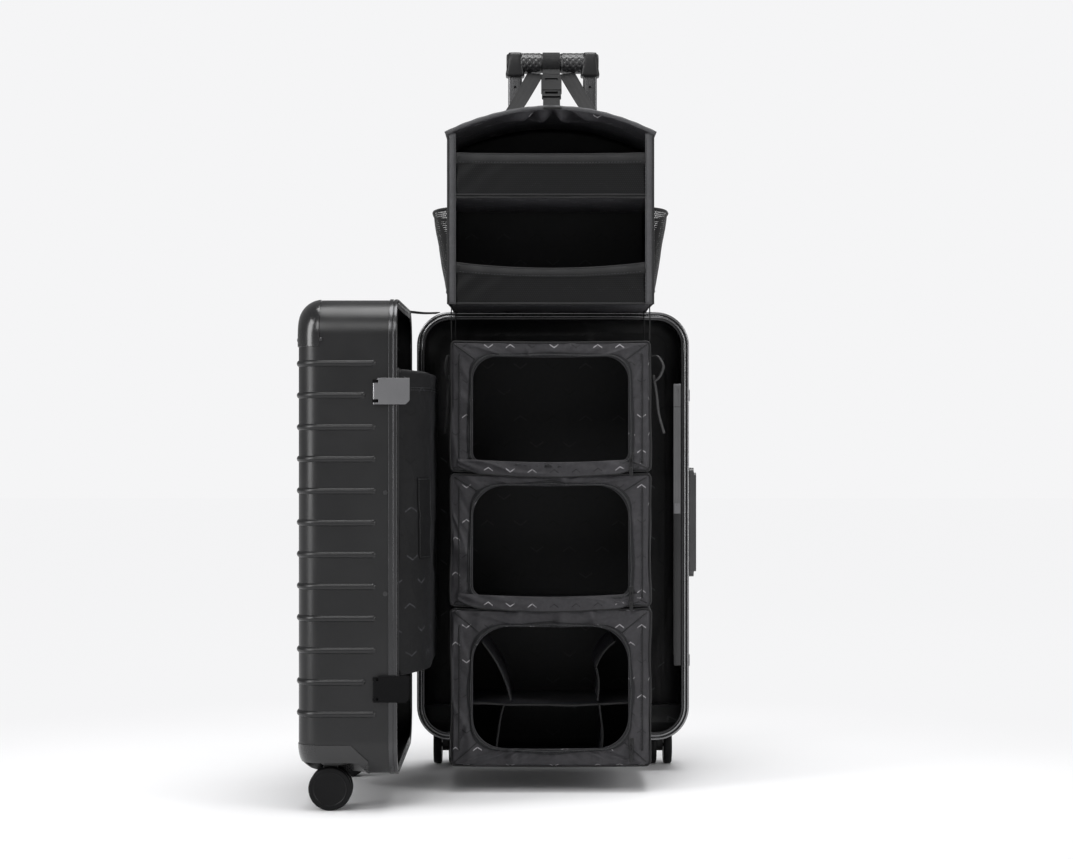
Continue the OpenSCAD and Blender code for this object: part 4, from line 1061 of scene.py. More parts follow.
def cube_form(which):
    """One open-fronted cloth cube as a single closed skin of rings.

    The rings go from the middle of the back, out and forward along the walls, over the front panel to the
    mouth, round its hem and back inside. A ring on the front is (1 - t) outer + t mouth. Pleats there are
    sin(distance along the mouth / 2.1 mm) growing towards the mouth's foot, and soft waves cover the rest.
    kind is 0 on the outside, 1 on the front panel, 2 on the hem and 3 inside.
    """
    name, seed, loose = which[0], which[3], which[4]
    lo, hi = span(name + "_cube")
    wall = 3.0 * MM
    middle = np.array([(lo[0] + hi[0]) / 2, (lo[2] + hi[2]) / 2])
    half_w, half_h = (hi[0] - lo[0]) / 2, (hi[2] - lo[2]) / 2 - 0.5 * MM
    outer, n = rounded(middle, half_w, half_h, [7 * MM] * 4, PER_CORNER, PER_SIDE)
    inner, _ = rounded(middle, half_w - wall, half_h - wall, [5 * MM] * 4, PER_CORNER, PER_SIDE)
    mouth, mouth_n = mouth_outline(which)
    y0, y1 = lo[1], hi[1] - 1 * MM
    rows, uvs, kind = [], [], []

    def ring(points, y, uv, what):
        rows.append(stack(points[:, 0], y, points[:, 1]))
        uvs.append(uv)
        kind.append(what)

    for s in (0.002, 0.3, 0.6, 0.8, 0.96):
        ring(middle + (outer - middle) * s, y1, middle + (outer - middle) * s + n * (y1 - y0), 0)
    for t in np.linspace(0, 1, 15):
        y = y1 + (y0 + 3 * MM - y1) * t
        ring(outer + n * 1.6 * MM * bump(t), y, outer + n * (y - y0), 0)
    for a in np.radians([30, 60, 90]):
        ring(outer - n * 3 * MM * (1 - math.cos(a)), y0 + 3 * MM * (1 - math.sin(a)), outer, 0)
    start_row = len(rows)
    edge = outer - n * 3 * MM
    for t in np.linspace(0, 1, 19)[1:]:
        at = edge * (1 - t) + mouth * t
        ring(at, y0 - 1.4 * MM * bump(t), at, 1)
    end_row = len(rows)
    for a in np.radians([45, 90, 135, 180]):
        hem = mouth - mouth_n * 1.1 * MM * math.sin(a)
        ring(hem, y0 + 1.1 * MM * (1 - math.cos(a)), mouth - mouth_n * a * 2 * MM, 2)
    for t in np.linspace(1, 0, 7)[1:]:
        at = inner * (1 - t) + mouth * t
        ring(at, y0 + 2.6 * MM, at, 3)
    for t in np.linspace(0, 1, 12)[1:]:
        y = y0 + 4 * MM + (y1 - wall - y0 - 4 * MM) * t
        ring(inner + n * 1.2 * MM * bump(t), y, inner + n * (y - y0), 3)
    for s in (0.9, 0.7, 0.5, 0.25, 0.002):
        at = middle + (inner - middle) * s
        ring(at, y1 - wall, at, 3)
    p, kind = np.array(rows), np.array(kind)
    t = np.zeros(len(rows))
    t[start_row:end_row] = np.linspace(0, 1, end_row - start_row + 1)[1:]
    t[end_row:end_row + 5] = 1
    s = run_length(mouth)
    foot = np.clip((middle[1] - mouth[:, 1]) / half_h, 0, 1) ** 2
    pleat = np.sin(s / (2.1 * MM)) * (0.25 + 1.3 * foot) + 0.8 * np.sin(s / (5.3 * MM) + seed)
    p[:, :, 1] += pleat[None] * 0.9 * MM * (bump(np.clip(t, 0, 1) ** 1.4) * 0.9 + 0.25 * t)[:, None]
    ripple = smooth_noise(p, 95, seed) * 1.6 + smooth_noise(p, 30, seed + 1) * 0.6
    slant = p * [1.0, 1.0, 0.45]
    ripple += loose * (1.3 * creases(slant, 110, seed + 4) + 0.8 * creases(slant, 60, seed + 5))
    p[:, :, 1] -= ripple * MM * ((kind == 1) | (kind == 2))[:, None]
    walls = (kind == 0)[:, None]
    p[:, :, 0] += smooth_noise(p, 80, seed + 2) * 1.1 * MM * walls * np.abs(n[:, 0])
    hollow = 1 - np.clip((p[:, :, 0] - ORG_X) / half_w, -1, 1) ** 2
    p[:, :, 2] -= walls * 1.5 * MM * (np.abs(n[:, 1]) > 0.5) * hollow
    return p, np.array(uvs), kind


def cubes():
    """Three cloth cubes with their piping, mitred seams, coil zips and rolled doors."""
    tapes, coils = [], []
    for which in CUBES:
        name = which[0] + "_cube"
        p, uv, kind = cube_form(which)
        obj = surface(name + "_cloth", p, close_v=True, cap=True, uv=uv)
        dress(obj, BACK, CLOTH, "cloth", name)
        # The hem and the inside take the darker INSIDE cloth, as painted shade
        obj.data.materials.append(INSIDE)
        inside = np.zeros(len(obj.data.polygons), dtype=np.int32)
        quads = np.repeat(kind[:-1] >= 2, p.shape[1])
        inside[:len(quads)] = quads
        obj.data.polygons.foreach_set("material_index", inside)
        front_row, hem_row = int(np.argmax(kind == 1)) - 2, int(np.argmax(kind == 2)) - 1
        binding(name + "_piping", p[front_row] + mm(0, -0.6, 0), 1.3, close=True)
        rail = p[front_row + 7] + mm(0, -0.3, 0)
        sides = [rail[k * TURN + PER_CORNER - 3:k * TURN + TURN + 3] for k in (0, 2)]
        seams = join(name + "_edge_seams", [tube("seam", side, 0.7, sides=6) for side in sides])
        dress(seams, BACK, BINDING, "cloth")
        rows = [r + mm(-1.8 * np.sign(r[0, 0] - ORG_X), -0.7, 0) for r in sides]
        thread(name + "_stitches", rows, (0, -1, 0))
        mitres = [p[front_row + 2:hem_row, PER_CORNER // 2 + c * TURN] + mm(0, -0.2, 0) for c in range(4)]
        seams = join(name + "_mitre_seams", [tube("seam", line, 0.75, sides=6) for line in mitres])
        dress(seams, BACK, BINDING, "cloth")
        tape, coil = zip_band(p[hem_row - 1:hem_row + 1])
        tapes.append(tape)
        coils.append(coil)
        if which[0] != "lower":
            door_flap(which)
    dress(join("coil_zips_tape", tapes), BACK, ZIP_TAPE, "zip", "cube_zips")
    dress(join("coil_zips_coil", coils), BACK, COIL, "zip")


def door_flap(which):
    """The unzipped door, rolled over the mouth's foot from seam to seam: it bellies out, sags and gathers.

    The depth is 8 mm at the ends and 19 mm between. Slanted gathers sin(9 v - 30 u) fade as exp(-5 u)
    from each end.
    """
    name, (low, _), _, seed, _ = which
    z_foot = span(name + "_cube")[1][2] - low * MM
    u, v = grid(np.linspace(0, 1, 170), np.linspace(0, 1, 20))
    x = ORG_X - 124 * MM + 244 * MM * u
    held = np.clip(np.minimum(u, 1 - u) / 0.12, 0, 1) ** 0.6
    full = held * np.clip((0.91 - u) / 0.10, 0, 1) ** 0.5
    sag = bump(u)
    belly = 3.6 * full * (0.6 + 0.4 * bump(v) ** 0.7)
    drop = 3.5 - 4.5 * sag - (8 + 9 * held + 2.5 * sag) * v
    p = stack(x, FRONT_Y - (2.6 + belly) * MM, z_foot + drop * MM)
    ends = np.exp(-u * 5) + np.exp(-(1 - u) * 7)
    pleats = np.sin(v * 9 - u * 30 + seed) * 1.7 * ends + np.sin(u * 52 + v * 4 + seed) * 0.35
    folds = creases(p * [0.45, 1, 1.8], 60, seed + 8) * 1.5 + smooth_noise(p, 26, seed + 9) * 0.5
    p[..., 1] -= np.maximum((pleats + folds) * full, -1.2 - 0.6 * belly) * MM
    flap = panel(name + "_door_flap", p, stack(x, -v * 19 * MM), 0.9)
    dress(flap, BACK, CLOTH, "cloth")
    flat_size(p)
    binding(name + "_door_hem", p[2:-2, -1], 0.9)


def zip_band(rows):
    """Tape 7 mm wide round the mouth, with a coil whose turns are a ripple of 1.7 mm, drawn for 1.3 mm."""
    before, edge = rows
    away = unit(before - edge)
    profile = [(0.2, 0.5), (0.2, -0.2), (1.0, -0.6), (6.2, -0.6), (7.0, -0.2), (7.0, 0.5)]
    points = [edge + away * o * MM + mm(0, d - 1.0, 0) for o, d in profile]
    uv = [stack(o * MM, run_length(edge)) for o, _ in profile]
    tape = surface("tape", np.array(points), close_u=True, close_v=True, uv=np.array(uv))
    path = edge + away * 2.6 * MM + mm(0, -1.9, 0)
    path = smooth_path(np.vstack([path, path[:1]]), 1500)[:-1]
    ripple = 1.0 + 0.32 * np.sin(run_length(path) * math.tau / (1.7 * MM))
    return tape, tube("coil", path, ripple * 1.05, sides=6, close=True, uv=False)


def zip_pulls():
    """Sliders with a cord loop and a plain moulded end, hanging at the lower right of each mouth."""
    for which in CUBES:
        node = which[0] + "_zip_pull"
        lo, hi = span(node)
        x, y, mid_y, top, foot = (lo[0] + hi[0]) / 2, lo[1], (lo[1] + hi[1]) / 2, hi[2], lo[2]
        slider = new_object("slider", *rounded_box((x, mid_y, top - 5 * MM), mm(3.6, 1.5, 4.8), 1.2 * MM))
        side = [(1.2, -0.4, top - 8 * MM), (2.2, -1, top - 18 * MM)]
        loop = [(x - a * MM, y + b * MM, z) for a, b, z in side] + [(x, y - 1.2 * MM, foot + 9 * MM)]
        loop += [(x + a * MM, y + b * MM, z) for a, b, z in side[::-1]]
        end = new_object("end", *rounded_box((x, y - 1.2 * MM, foot + 5 * MM), mm(2.6, 1.3, 6), 1.1 * MM))
        parts = [outward(slider), tube("loop", smooth_path(loop, 40), 0.9, uv=False), outward(end)]
        dress(join(node + "_slider", parts), node + "_body", ABS, "zip", node)


def rounded_box(centre, half, radius, steps=3):
    """Points and faces of a box with rounded edges: a sphere grid pushed out to the box's corners."""
    turn = np.linspace(0, 90, steps + 1)
    u = (np.repeat(np.arange(4), steps + 1) * 90 + np.tile(turn, 4)) * math.pi / 180
    v = np.concatenate([turn - 90, turn]) * math.pi / 180
    quadrant = np.repeat(np.arange(4), steps + 1)
    sx, sy = np.array([1, -1, -1, 1])[quadrant], np.array([1, 1, -1, -1])[quadrant]
    hx, hy, hz = (h - radius for h in half)
    x = (sx * hx)[:, None] + radius * np.cos(u)[:, None] * np.cos(v)
    y = (sy * hy)[:, None] + radius * np.sin(u)[:, None] * np.cos(v)
    z = np.repeat([-1, 1], steps + 1) * hz + radius * np.sin(v)
    points = stack(x, y, z) + np.array(centre)
    nu, nv = points.shape[:2]
    return points.reshape(-1, 3), [tuple(f) for f in grid_faces(nu, nv, close_u=True)] + end_faces(nu, nv)


# Top compartments

SIDE_LOW, SIDE_HIGH = span("left_side_panel")
RIGHT_HIGH = span("right_side_panel")[1]
EAVES, RIDGE = SIDE_HIGH[2] + 0.3 * MM, span("roof_panel")[1][2] - 6 * MM
ORG_LEFT, ORG_RIGHT = SIDE_LOW[0], RIGHT_HIGH[0]
ORG_FRONT, ORG_REAR = SIDE_LOW[1], SIDE_HIGH[1]
ORG_MID, ORG_HALF = (ORG_LEFT + ORG_RIGHT) / 2, (ORG_RIGHT - ORG_LEFT) / 2
SHELF_Z = span("upper_shelf")[1][2]


def roof_z(x):
    """Height of the roof's underside: a parabola from the ridge down to the eaves."""
    return EAVES + (RIDGE - EAVES) * (1 - ((x - ORG_MID) / ORG_HALF) ** 2)


def panel(name, points, uv, thick):
    """A cloth panel, thick mm, from a grid of points."""
    return thicken(surface(name, points, uv=uv), thick * MM)


def fold(*pieces):
    """Gives each piece its own copy of its mesh."""
    for piece in pieces:
        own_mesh(piece)


def gathers(x, y):
    """Folds in mm that fan out behind the ridge's front end: sin(11 bearing), deepest 25 mm back."""
    bearing = np.arctan2(x - ORG_MID, y - ORG_FRONT + 25 * MM)
    away = np.hypot(x - ORG_MID, y - ORG_FRONT) / (25 * MM)
    depth = 14.0 * away * np.exp(1 - away) * np.clip((y - ORG_FRONT) / (12 * MM), 0, 1)
    return (np.sin(11 * bearing + 0.7) - 1) * 0.5 * depth


def roof():
    """Roof sheet with its sewn front roll, past both eaves as on a tent, and two stitched seams."""
    over = 3 * MM
    y = np.concatenate([ORG_FRONT + mm(0, 2, 5, 9, 14, 20, 27, 35),
                        np.linspace(ORG_FRONT + 46 * MM, ORG_REAR, 22)])
    gx, gy = grid(np.linspace(ORG_LEFT - over, ORG_RIGHT + over, 81), y)
    held = np.clip((ORG_HALF - np.abs(gx - ORG_MID)) / (25 * MM), 0, 1)
    z = roof_z(np.clip(gx, ORG_LEFT, ORG_RIGHT)) + 1.2 * MM - over * 0.5 * (np.abs(gx - ORG_MID) > ORG_HALF)
    z = z + gathers(gx, gy) * MM * held - 2 * MM * held * bump((gy - ORG_FRONT) / (ORG_REAR - ORG_FRONT))
    p = stack(gx, gy, z)
    p[..., 2] += smooth_noise(p, 60, 21) * 0.5 * MM * held
    sheet = panel("roof_cloth", p, stack(gx, gy), 1.6)
    dress(sheet, GRIP, CLOTH, "cloth", "roof_panel")
    edge = smooth_path(p[:, 0] + mm(0, -1.2, 0.2), 90)
    lumps = 2.9 + 0.25 * np.sin(run_length(edge) / (3.4 * MM))
    binding("roof_front_roll", edge, lumps, GRIP, FACING, sides=10)
    binding("roof_rear_roll", smooth_path(p[:, -1] + mm(0, 0, 0.2), 60), 1.6, GRIP)
    thread("roof_stitching", [p[2:-2, k] + mm(0, 0, 1.2) for k in (5, -3)], (0, 0, 1), GRIP)


def side_panels():
    """Cloth sides that bow between their seams, each with a paler 11 mm facing folded in at its front."""
    low = SIDE_LOW[2]
    v = np.linspace(0, 1, 60)
    y_line = np.concatenate([np.full(4, ORG_FRONT), np.linspace(ORG_FRONT, ORG_REAR, 26)[1:]])
    x_line = np.concatenate([mm(11, 8, 4, 0.8), np.full(25, 0.8 * MM)])
    run = run_length(stack(x_line, y_line))
    for side, x0, inward, seed in (("left", ORG_LEFT, 1, 31), ("right", ORG_RIGHT, -1, 37)):
        top = float(roof_z(x0 + inward * 3 * MM)) - 1.0 * MM
        gy, gv = grid(y_line, v)
        gx, _ = grid(x_line, v)
        z = low + (top - low) * gv
        bow = bump(np.clip((gy - ORG_FRONT) / (ORG_REAR - ORG_FRONT), 0, 1))
        push = bow * (1 - np.exp(-((z - SHELF_Z) / (10 * MM)) ** 2)) * 1.5 * MM
        p = stack(x0 + inward * (gx + push * 0.4), gy, z)
        wrinkle = smooth_noise(p, 45, seed) * 0.8 + smooth_noise(p, 18, seed + 1) * 0.35
        p[..., 0] += inward * np.abs(wrinkle) * MM * bow
        front = gy <= ORG_FRONT + 1e-6
        pull = np.exp(-((z - SHELF_Z) / (4 * MM)) ** 2)
        p[..., 1] += front * (0.5 * np.sin(z / (7 * MM)) * MM + 1.2 * MM * pull)
        p[..., 0] += front * inward * pull * 2 * MM * (gx > 6 * MM)
        obj = panel(side + "_side_cloth", p, stack(run[:, None], z), 1.4)
        dress(obj, BACK, CLOTH, "cloth", side + "_side_panel")
        # The inner face takes the darker INSIDE cloth, as painted shade
        second_finish(obj, INSIDE, lambda c, x0=x0, inward=inward: (c[:, 0] - x0) * inward > 1.6 * MM)
        rise = low + (top - low) * v
        strip = np.array([stack(x0 + inward * w * MM, ORG_FRONT - 1.2 * MM, rise) for w in (0.6, 5.5, 10.8)])
        facing = panel(side + "_front_facing", strip, stack(mm(0.6, 5.5, 10.8)[:, None], rise[None]), 0.9)
        dress(facing, BACK, FACING, "cloth")
        inner = low + 3 * MM + (top - low - 6 * MM) * v
        rows = [stack(x0 + inward * w * MM, ORG_FRONT - 1.8 * MM, inner) for w in (1.9, 9.6)]
        cord = stack(x0 + inward * 0.6 * MM, ORG_FRONT - 0.6 * MM, rise)
        fold(obj, facing, thread(side + "_facing_stitches", rows, (0, -1, 0)),
             binding(side + "_side_piping", cord, 1.5))


def rear_cloth():
    """Rear wall of the top compartments, creased where it folds."""
    lo, hi = span("rear_panel")
    u, v = grid(np.linspace(lo[0] - 2.4 * MM, hi[0] + 2.4 * MM, 40), np.linspace(0, 1, 40))
    z = lo[2] + (roof_z(u) + 0.3 * MM - lo[2]) * v
    p = stack(u, (lo[1] + hi[1]) / 2, z)
    p[..., 1] += (smooth_noise(p, 70, 41) * 0.7 + 0.4 * np.sin(z / (9 * MM))) * MM * 0.8
    obj = panel("rear_cloth", p, stack(u, z), 1.4)
    # The rear wall is the darker INSIDE cloth: painted shade
    dress(obj, BACK, INSIDE, "cloth", "rear_panel")
    fold(obj)


def shelves():
    """Stiffened shelves in cloth with a rolled front edge and a line of stitches; they dip in the middle."""
    for node, body, dip in (("upper_shelf", "upper_shelf_body", 1.5), ("bottom_shelf", BACK, 1.0)):
        name = node + "_cloth"
        lo, hi = span(node)
        u, v = grid(np.linspace(lo[0], hi[0], 34), np.linspace(lo[1], hi[1], 28))
        dish = bump((u - lo[0]) / (hi[0] - lo[0])) * bump((v - lo[1]) / (hi[1] - lo[1]))
        p = stack(u, v, hi[2] - 1.2 * MM - dip * MM * dish)
        p[..., 2] += smooth_noise(p, 60, 51) * 0.3 * MM - 0.3 * MM
        obj = panel(name, p, stack(u, v), 2.0)
        dress(obj, body, CLOTH, "cloth", node)
        binding(name + "_front_roll", p[:, 0] + mm(0, 0.4, -0.6), 1.9, body)
        thread(name + "_stitches", [p[1:-1, 2] + mm(0, 0, 1.2)], (0, 0, 1), body)


def front_mesh(node, sag, seed):
    """A mesh wall that leans on its shelf's edge and sags, with small pulls down from the hem's ends.

    The hem is a doubled band of tape along the top line, with a piping on it.
    """
    name = node + "_net"
    lo, hi = span(node)
    gu, gv = grid(np.linspace(0, 1, 70), np.linspace(0, 1, 26))
    x = lo[0] + 7.6 * MM + (hi[0] - lo[0] - 15.2 * MM) * gu
    z = lo[2] + (hi[2] - sag * MM * bump(gu) ** 0.8 - lo[2]) * gv
    slant = (1 - gv) * 0.5
    pulls = np.sin((gu * 1.9 + slant) * 22) * np.exp(-gu * 5)
    pulls += np.sin(((1 - gu) * 1.9 + slant) * 19) * np.exp(-(1 - gu) * 6)
    p = stack(x, (lo[1] + hi[1]) / 2 - (bump(gu) * gv * 1.6 + pulls * 1.6 * (gv + 0.25)) * MM, z)
    p[..., 1] += smooth_noise(p, 40, seed) * 0.5 * MM * bump(gu)
    net = panel(name, p, stack(x, z), 0.5)
    dress(net, BACK, MESH, "mesh", node)
    top = [p[:, -1] * (1 - t) + p[:, -7] * t + mm(0, -0.7, 0) for t in (0, 0.5, 1)]
    across = np.array([0, 0.5, 1])[:, None] * 11 * MM
    band = panel(name + "_hem", np.array(top), stack(across, run_length(p[:, -1])[None]), 0.8)
    dress(band, BACK, BINDING, "cloth")
    fold(net, band, binding(name + "_hem_roll", p[:, -1], 1.3),
         binding(name + "_foot_roll", p[:, 0] + mm(0, -0.6, 1), 1.4),
         thread(name + "_stitches", [p[1:-1, -6] + mm(0, -1.3, 0)], (0, -1, 0)))


def side_pockets():
    """Mesh pockets on the outsides, which flare from a flat foot to a bound mouth standing 22 mm off.

    At height v the pocket stands 2 mm to its full reach off in the middle and falls to nothing at its ends
    as 1 - s^6.
    """
    lo, hi = span("side_mesh_pockets")
    nets, rolls, ends = [], [], []
    for x0, out, far in ((ORG_LEFT, -1, lo[0]), (ORG_RIGHT, 1, hi[0])):
        gu, gv = grid(np.linspace(-1, 1, 44), np.linspace(0, 1, 26))
        reach = abs(far - x0) / MM - 1.5
        off = (2.0 + (reach - 2.0) * gv ** 0.85) * (1 - np.abs(gu) ** 6) + 0.5
        z = lo[2] + (hi[2] - lo[2]) * gv - 3 * MM * gv * (1 - gu ** 2)
        p = stack(x0 + out * off * MM, (lo[1] + hi[1]) / 2 + (hi[1] - lo[1]) / 2 * gu, z)
        p[..., 0] += out * np.minimum(smooth_noise(p, 35, 61) * 0.9 * MM, 0.5 * MM) * (1 - gu ** 4)
        nets.append(panel("net", p, stack(run_length(p[:, -1])[:, None], z), 0.5))
        rolls += [tube("roll", p[:, k], r, up=(0, 0, 1)) for k, r in ((-1, 1.9), (0, 1.5))]
        ends += [tube("end", p[k], 1.3) for k in (0, -1)]
    net = dress(join("side_pocket_net", nets), BACK, MESH, "mesh", "side_mesh_pockets")
    fold(net, dress(join("side_pocket_binding", rolls + ends), BACK, BINDING, "cloth"))


# Hanging straps

GRIP_LOW, GRIP_HIGH = span("grip_handle")
GRIP_Y, GRIP_Z = (GRIP_LOW[1] + GRIP_HIGH[1]) / 2, GRIP_HIGH[2] - 13.8 * MM
STRAP_X = (span("hanger_strap")[0][0] + span("hanger_strap")[1][0]) / 2


def hanger():
    """25 mm webbing: a loop sewn round the grip, its tail through the buckle, and two legs to the roof."""
    (lo, hi), (s_lo, s_hi) = span("hanger_strap"), span("buckle_socket")
    p_lo = span("buckle_prongs")[0]
    x, flat = STRAP_X, (1, 0, 0)
    r, loop_z = 15 * MM, hi[2] - 15.7 * MM
    turn = np.linspace(0, math.tau, 49)
    wrap = ribbon("wrap", stack(x, GRIP_Y + r * np.sin(turn), loop_z + r * np.cos(turn)), flat, 25, 1.6)
    join_at = np.array([x, GRIP_Y - r * 0.72, loop_z - r * 0.72])
    into = np.array([x, s_hi[1] - 3 * MM, s_hi[2] - 2 * MM])
    middle = np.array([x, (s_lo[1] + s_hi[1]) / 2, (s_lo[2] + s_hi[2]) / 2])
    out = np.array([x, p_lo[1] + 2 * MM, p_lo[2] + 2 * MM])
    end = np.array([x, lo[1] + 1 * MM, lo[2] + 1 * MM])
    upper = ribbon("upper", smooth_path([join_at, into, middle], 20), flat, 24, 1.6)
    slack = out * 0.5 + end * 0.5 + mm(0, 0, -1.5)
    lower = ribbon("lower", smooth_path([out, slack, end], 30), flat, 24, 1.6)
    doubled = [join_at + mm(0, -1.8, 0), join_at * 0.3 + into * 0.7 + mm(0, -1.8, 0)]
    sewn = ribbon("sewn", smooth_path(doubled, 8), flat, 25, 1.4)
    ridge = [end + mm(0, 2, 0)] + [np.array([x, y, roof_z(x) + up * MM]) for y, up in (
        (end[1] - 9 * MM, 4.2), (-0.09, 3.4), (-0.15, 3.2), (ORG_FRONT + 8 * MM, 3.4),
        (ORG_FRONT - 2.2 * MM, 3.2), (ORG_FRONT - 4.4 * MM, 1.2), (ORG_FRONT - 4.8 * MM, -1.2))]
    tab = ribbon("tab", smooth_path(ridge, 60), flat, 24, 1.4)
    dress(join("hanger_webbing", [wrap, upper, lower, sewn, tab]), GRIP, WEBBING, "webbing", "hanger_strap")
    w_lo, w_hi = span("roof_webbing")
    legs = []
    for s in (-1, 1):
        x_foot = x + s * 67 * MM
        top = np.array([x + s * 22.6 * MM, GRIP_Y - 6 * MM, w_hi[2] - 1 * MM])
        foot = np.array([x_foot, w_lo[1] + 1.5 * MM, roof_z(x_foot) + 5.2 * MM])
        path = smooth_path([top, top * 0.45 + foot * 0.55 + mm(0, -1, -2.5), foot], 34)
        across = np.linspace(0, 1, 34)[:, None] * np.array([0.0, 0, -s * 0.25]) + flat
        legs.append(ribbon("leg", path, across, 24, 1.6))
    dress(join("roof_webbing_legs", legs), GRIP, WEBBING, "webbing", "roof_webbing")


def cube_straps():
    """Corner straps from the bottom shelf to the top cube, and a loop with a hanging tail on each side."""
    (lo, hi), (cube_lo, cube_hi) = span("cube_straps"), span("upper_cube")
    top_z, foot_z = hi[2], cube_hi[2] - 1 * MM
    half = (cube_hi[0] - cube_lo[0]) / 2
    y, z = lo[1] + 22 * MM, cube_hi[2]
    pieces, loops = [], []
    # Across and up in mm; the left ones lie close, clear of the divider
    loop = [(0, -20), (9, -21), (16, -34), (11, -48), (2, -56)]
    tail = [(3, -46), (7, -72), (10, -98), (17, -124)]
    for s, reach in ((-1, 0.35), (1, 1.0)):
        for strap_y, bend in ((ORG_FRONT + 10.5 * MM, 2), (-13.5 * MM, -2)):
            x = ORG_X + s * (half - 1.8 * MM)
            middle = (x + s * 0.4 * MM, strap_y + bend * MM, (top_z + foot_z) / 2)
            path = smooth_path([(x, strap_y, foot_z), middle, (x, strap_y, top_z)], 16)
            pieces.append(ribbon("strap", path, (0, 1, 0), 8, 1.2))
        x = ORG_X + s * (half + 1.2 * MM)
        for line in (loop, tail):
            points = [(x + s * out * reach * MM, y - 0.1 * out * MM, z + up * MM) for out, up in line]
            loops.append(ribbon("loop", smooth_path(points, 40), (s * 0.35, 0.94, 0), 9, 1.5))
    dress(join("cube_webbing", pieces), BACK, WEBBING, "webbing", "cube_straps")
    # The side loops take the paler LOOP webbing: painted highlight
    dress(join("cube_side_loops", loops), BACK, LOOP, "webbing")


def dividers():
    """Cloth walls in the lowest cube: each a bowed sheet from its top seam to its foot seam."""
    lo, hi = span("cube_dividers")
    foot = span("lower_cube")[0][2]
    y = np.linspace(lo[1] + 2 * MM, hi[1] - 1 * MM, 24)
    # Top and foot of each wall as (across, up) in mm, and its bow
    walls = (((-92, 165), (-53, 86), 6), ((86, 165), (60, 132), -3), ((60, 130), (63, 86), 3),
             ((-62, 80), (-73, 4), -3), ((66, 80), (66, 4), 3))
    parts, edges = [], []
    for (xa, za), (xb, zb), bow in walls:
        gv, gy = grid(np.linspace(0, 1, 22), y)
        z = foot + (za + (zb - za) * gv) * MM
        scoop = 9 * MM * bump(gv) * np.clip(1 - (gy - y[0]) / (60 * MM), 0, 1) ** 2
        p = stack(ORG_X + (xa + (xb - xa) * gv + bow * bump(gv)) * MM, gy + scoop, z)
        p[..., 0] += smooth_noise(p, 40, 71) * 0.8 * MM
        parts.append(panel("wall", p, stack(gy, z), 1.4))
        edges.append(tube("edge", p[:, 0], 1.3))
    gx, gy = grid(np.linspace(lo[0], hi[0], 50), y)
    hump = bump((gx - lo[0]) / (hi[0] - lo[0]))
    scoop = 7 * MM * hump * (gy < y[6]) * (1 - (gy - y[0]) / (y[6] - y[0]))
    p = stack(gx, gy + scoop, foot + 82 * MM - 3 * MM * hump ** 2)
    p[..., 2] += smooth_noise(p, 50, 72) * 0.8 * MM
    parts.append(panel("floor", p, stack(gx, gy), 1.4))
    edges.append(tube("edge", p[:, 0], 1.5))
    # The walls are the darker INSIDE cloth: painted shade
    dress(join("divider_walls", parts), BACK, INSIDE, "cloth", "cube_dividers")
    dress(join("divider_edges", edges), BACK, BINDING, "cloth")


# Padded divider of the front half

def pad_face(y, z):
    """X of the divider's face: it stands 35 mm (1 - a^2.2) (1 - b^3) off its flat back.

    a falls from 1 at the near and far edges to 0 at 75 mm in, and b from 1 at the top and foot to 0 at 8 mm.
    """
    lo, hi = span("divider_panel")
    a = np.clip(1 - ((hi[1] - lo[1]) / 2 - np.abs(y - (lo[1] + hi[1]) / 2)) / (75 * MM), 0, 1)
    b = np.clip(1 - ((hi[2] - lo[2]) / 2 - np.abs(z - (lo[2] + hi[2]) / 2)) / (8 * MM), 0, 1)
    x = lo[0] + 3 * MM + (hi[0] - lo[0] - 6 * MM) * (1 - a ** 2.2) * (1 - b ** 3)
    p = stack(x, y, z)
    return x + (smooth_noise(p, 85, 81) * 1.4 + creases(p, 90, 83) * 1.2 + smooth_noise(p, 30, 82) * 0.4) * MM


def padded_divider():
    """Divider as a boxed pad with piping, a stitched top band and a bare sewn patch."""
    lo, hi = span("divider_panel")
    middle = (lo[1:] + hi[1:]) / 2
    half_y, half_z = (hi[1:] - lo[1:]) / 2 - 1 * MM
    edge, _ = rounded(middle, half_y, half_z, [10 * MM] * 4, 9, 50)
    back = [(s, lo[0] + 0.8 * MM) for s in (0.002, 0.3, 0.6, 0.9, 0.98)] + [(1.0, lo[0] + 2.4 * MM)]
    rows, uv = [], []
    for s, x in back + [(s, None) for s in 1 - np.linspace(0, 1, 56)[1:] ** 1.7 * 0.998]:
        at = middle + (edge - middle) * s
        rows.append(stack(pad_face(at[:, 0], at[:, 1]) if x is None else x, at[:, 0], at[:, 1]))
        uv.append(at)
    p = np.array(rows)
    obj = surface("divider_pad", p, close_v=True, cap=True, uv=np.array(uv))
    dress(obj, FRONT, DIVIDER, "cloth", "divider_panel")
    binding("divider_piping", p[5], 2.0, FRONT, up=(1, 0, 0), close=True)
    lift = mm(0.7, 0, 0)
    y = np.linspace(lo[1] + 8 * MM, hi[1] - 8 * MM, 120)
    lines = [stack(pad_face(y, np.full(len(y), z)), y, z) + lift for z in (hi[2] - 24 * MM, hi[2] - 27 * MM)]
    thread("divider_stitches", lines, (1, 0, 0), FRONT)
    gy, gz = grid(np.linspace(lo[1] + 26 * MM, lo[1] + 60 * MM, 24), np.linspace(0.317, 0.42, 50))
    patch = stack(pad_face(gy, gz) + 0.8 * MM, gy, gz)
    dress(panel("divider_patch", patch, stack(gy, gz), 1.0), FRONT, PATCH, "cloth")
    border = np.vstack([patch[1, 1:-1], patch[1:-1, -2], patch[-2, -2:0:-1], patch[-2:0:-1, 1]]) + lift
    thread("divider_patch_stitches", [border], (1, 0, 0.01), FRONT, pitch=3.6, length=2.4)


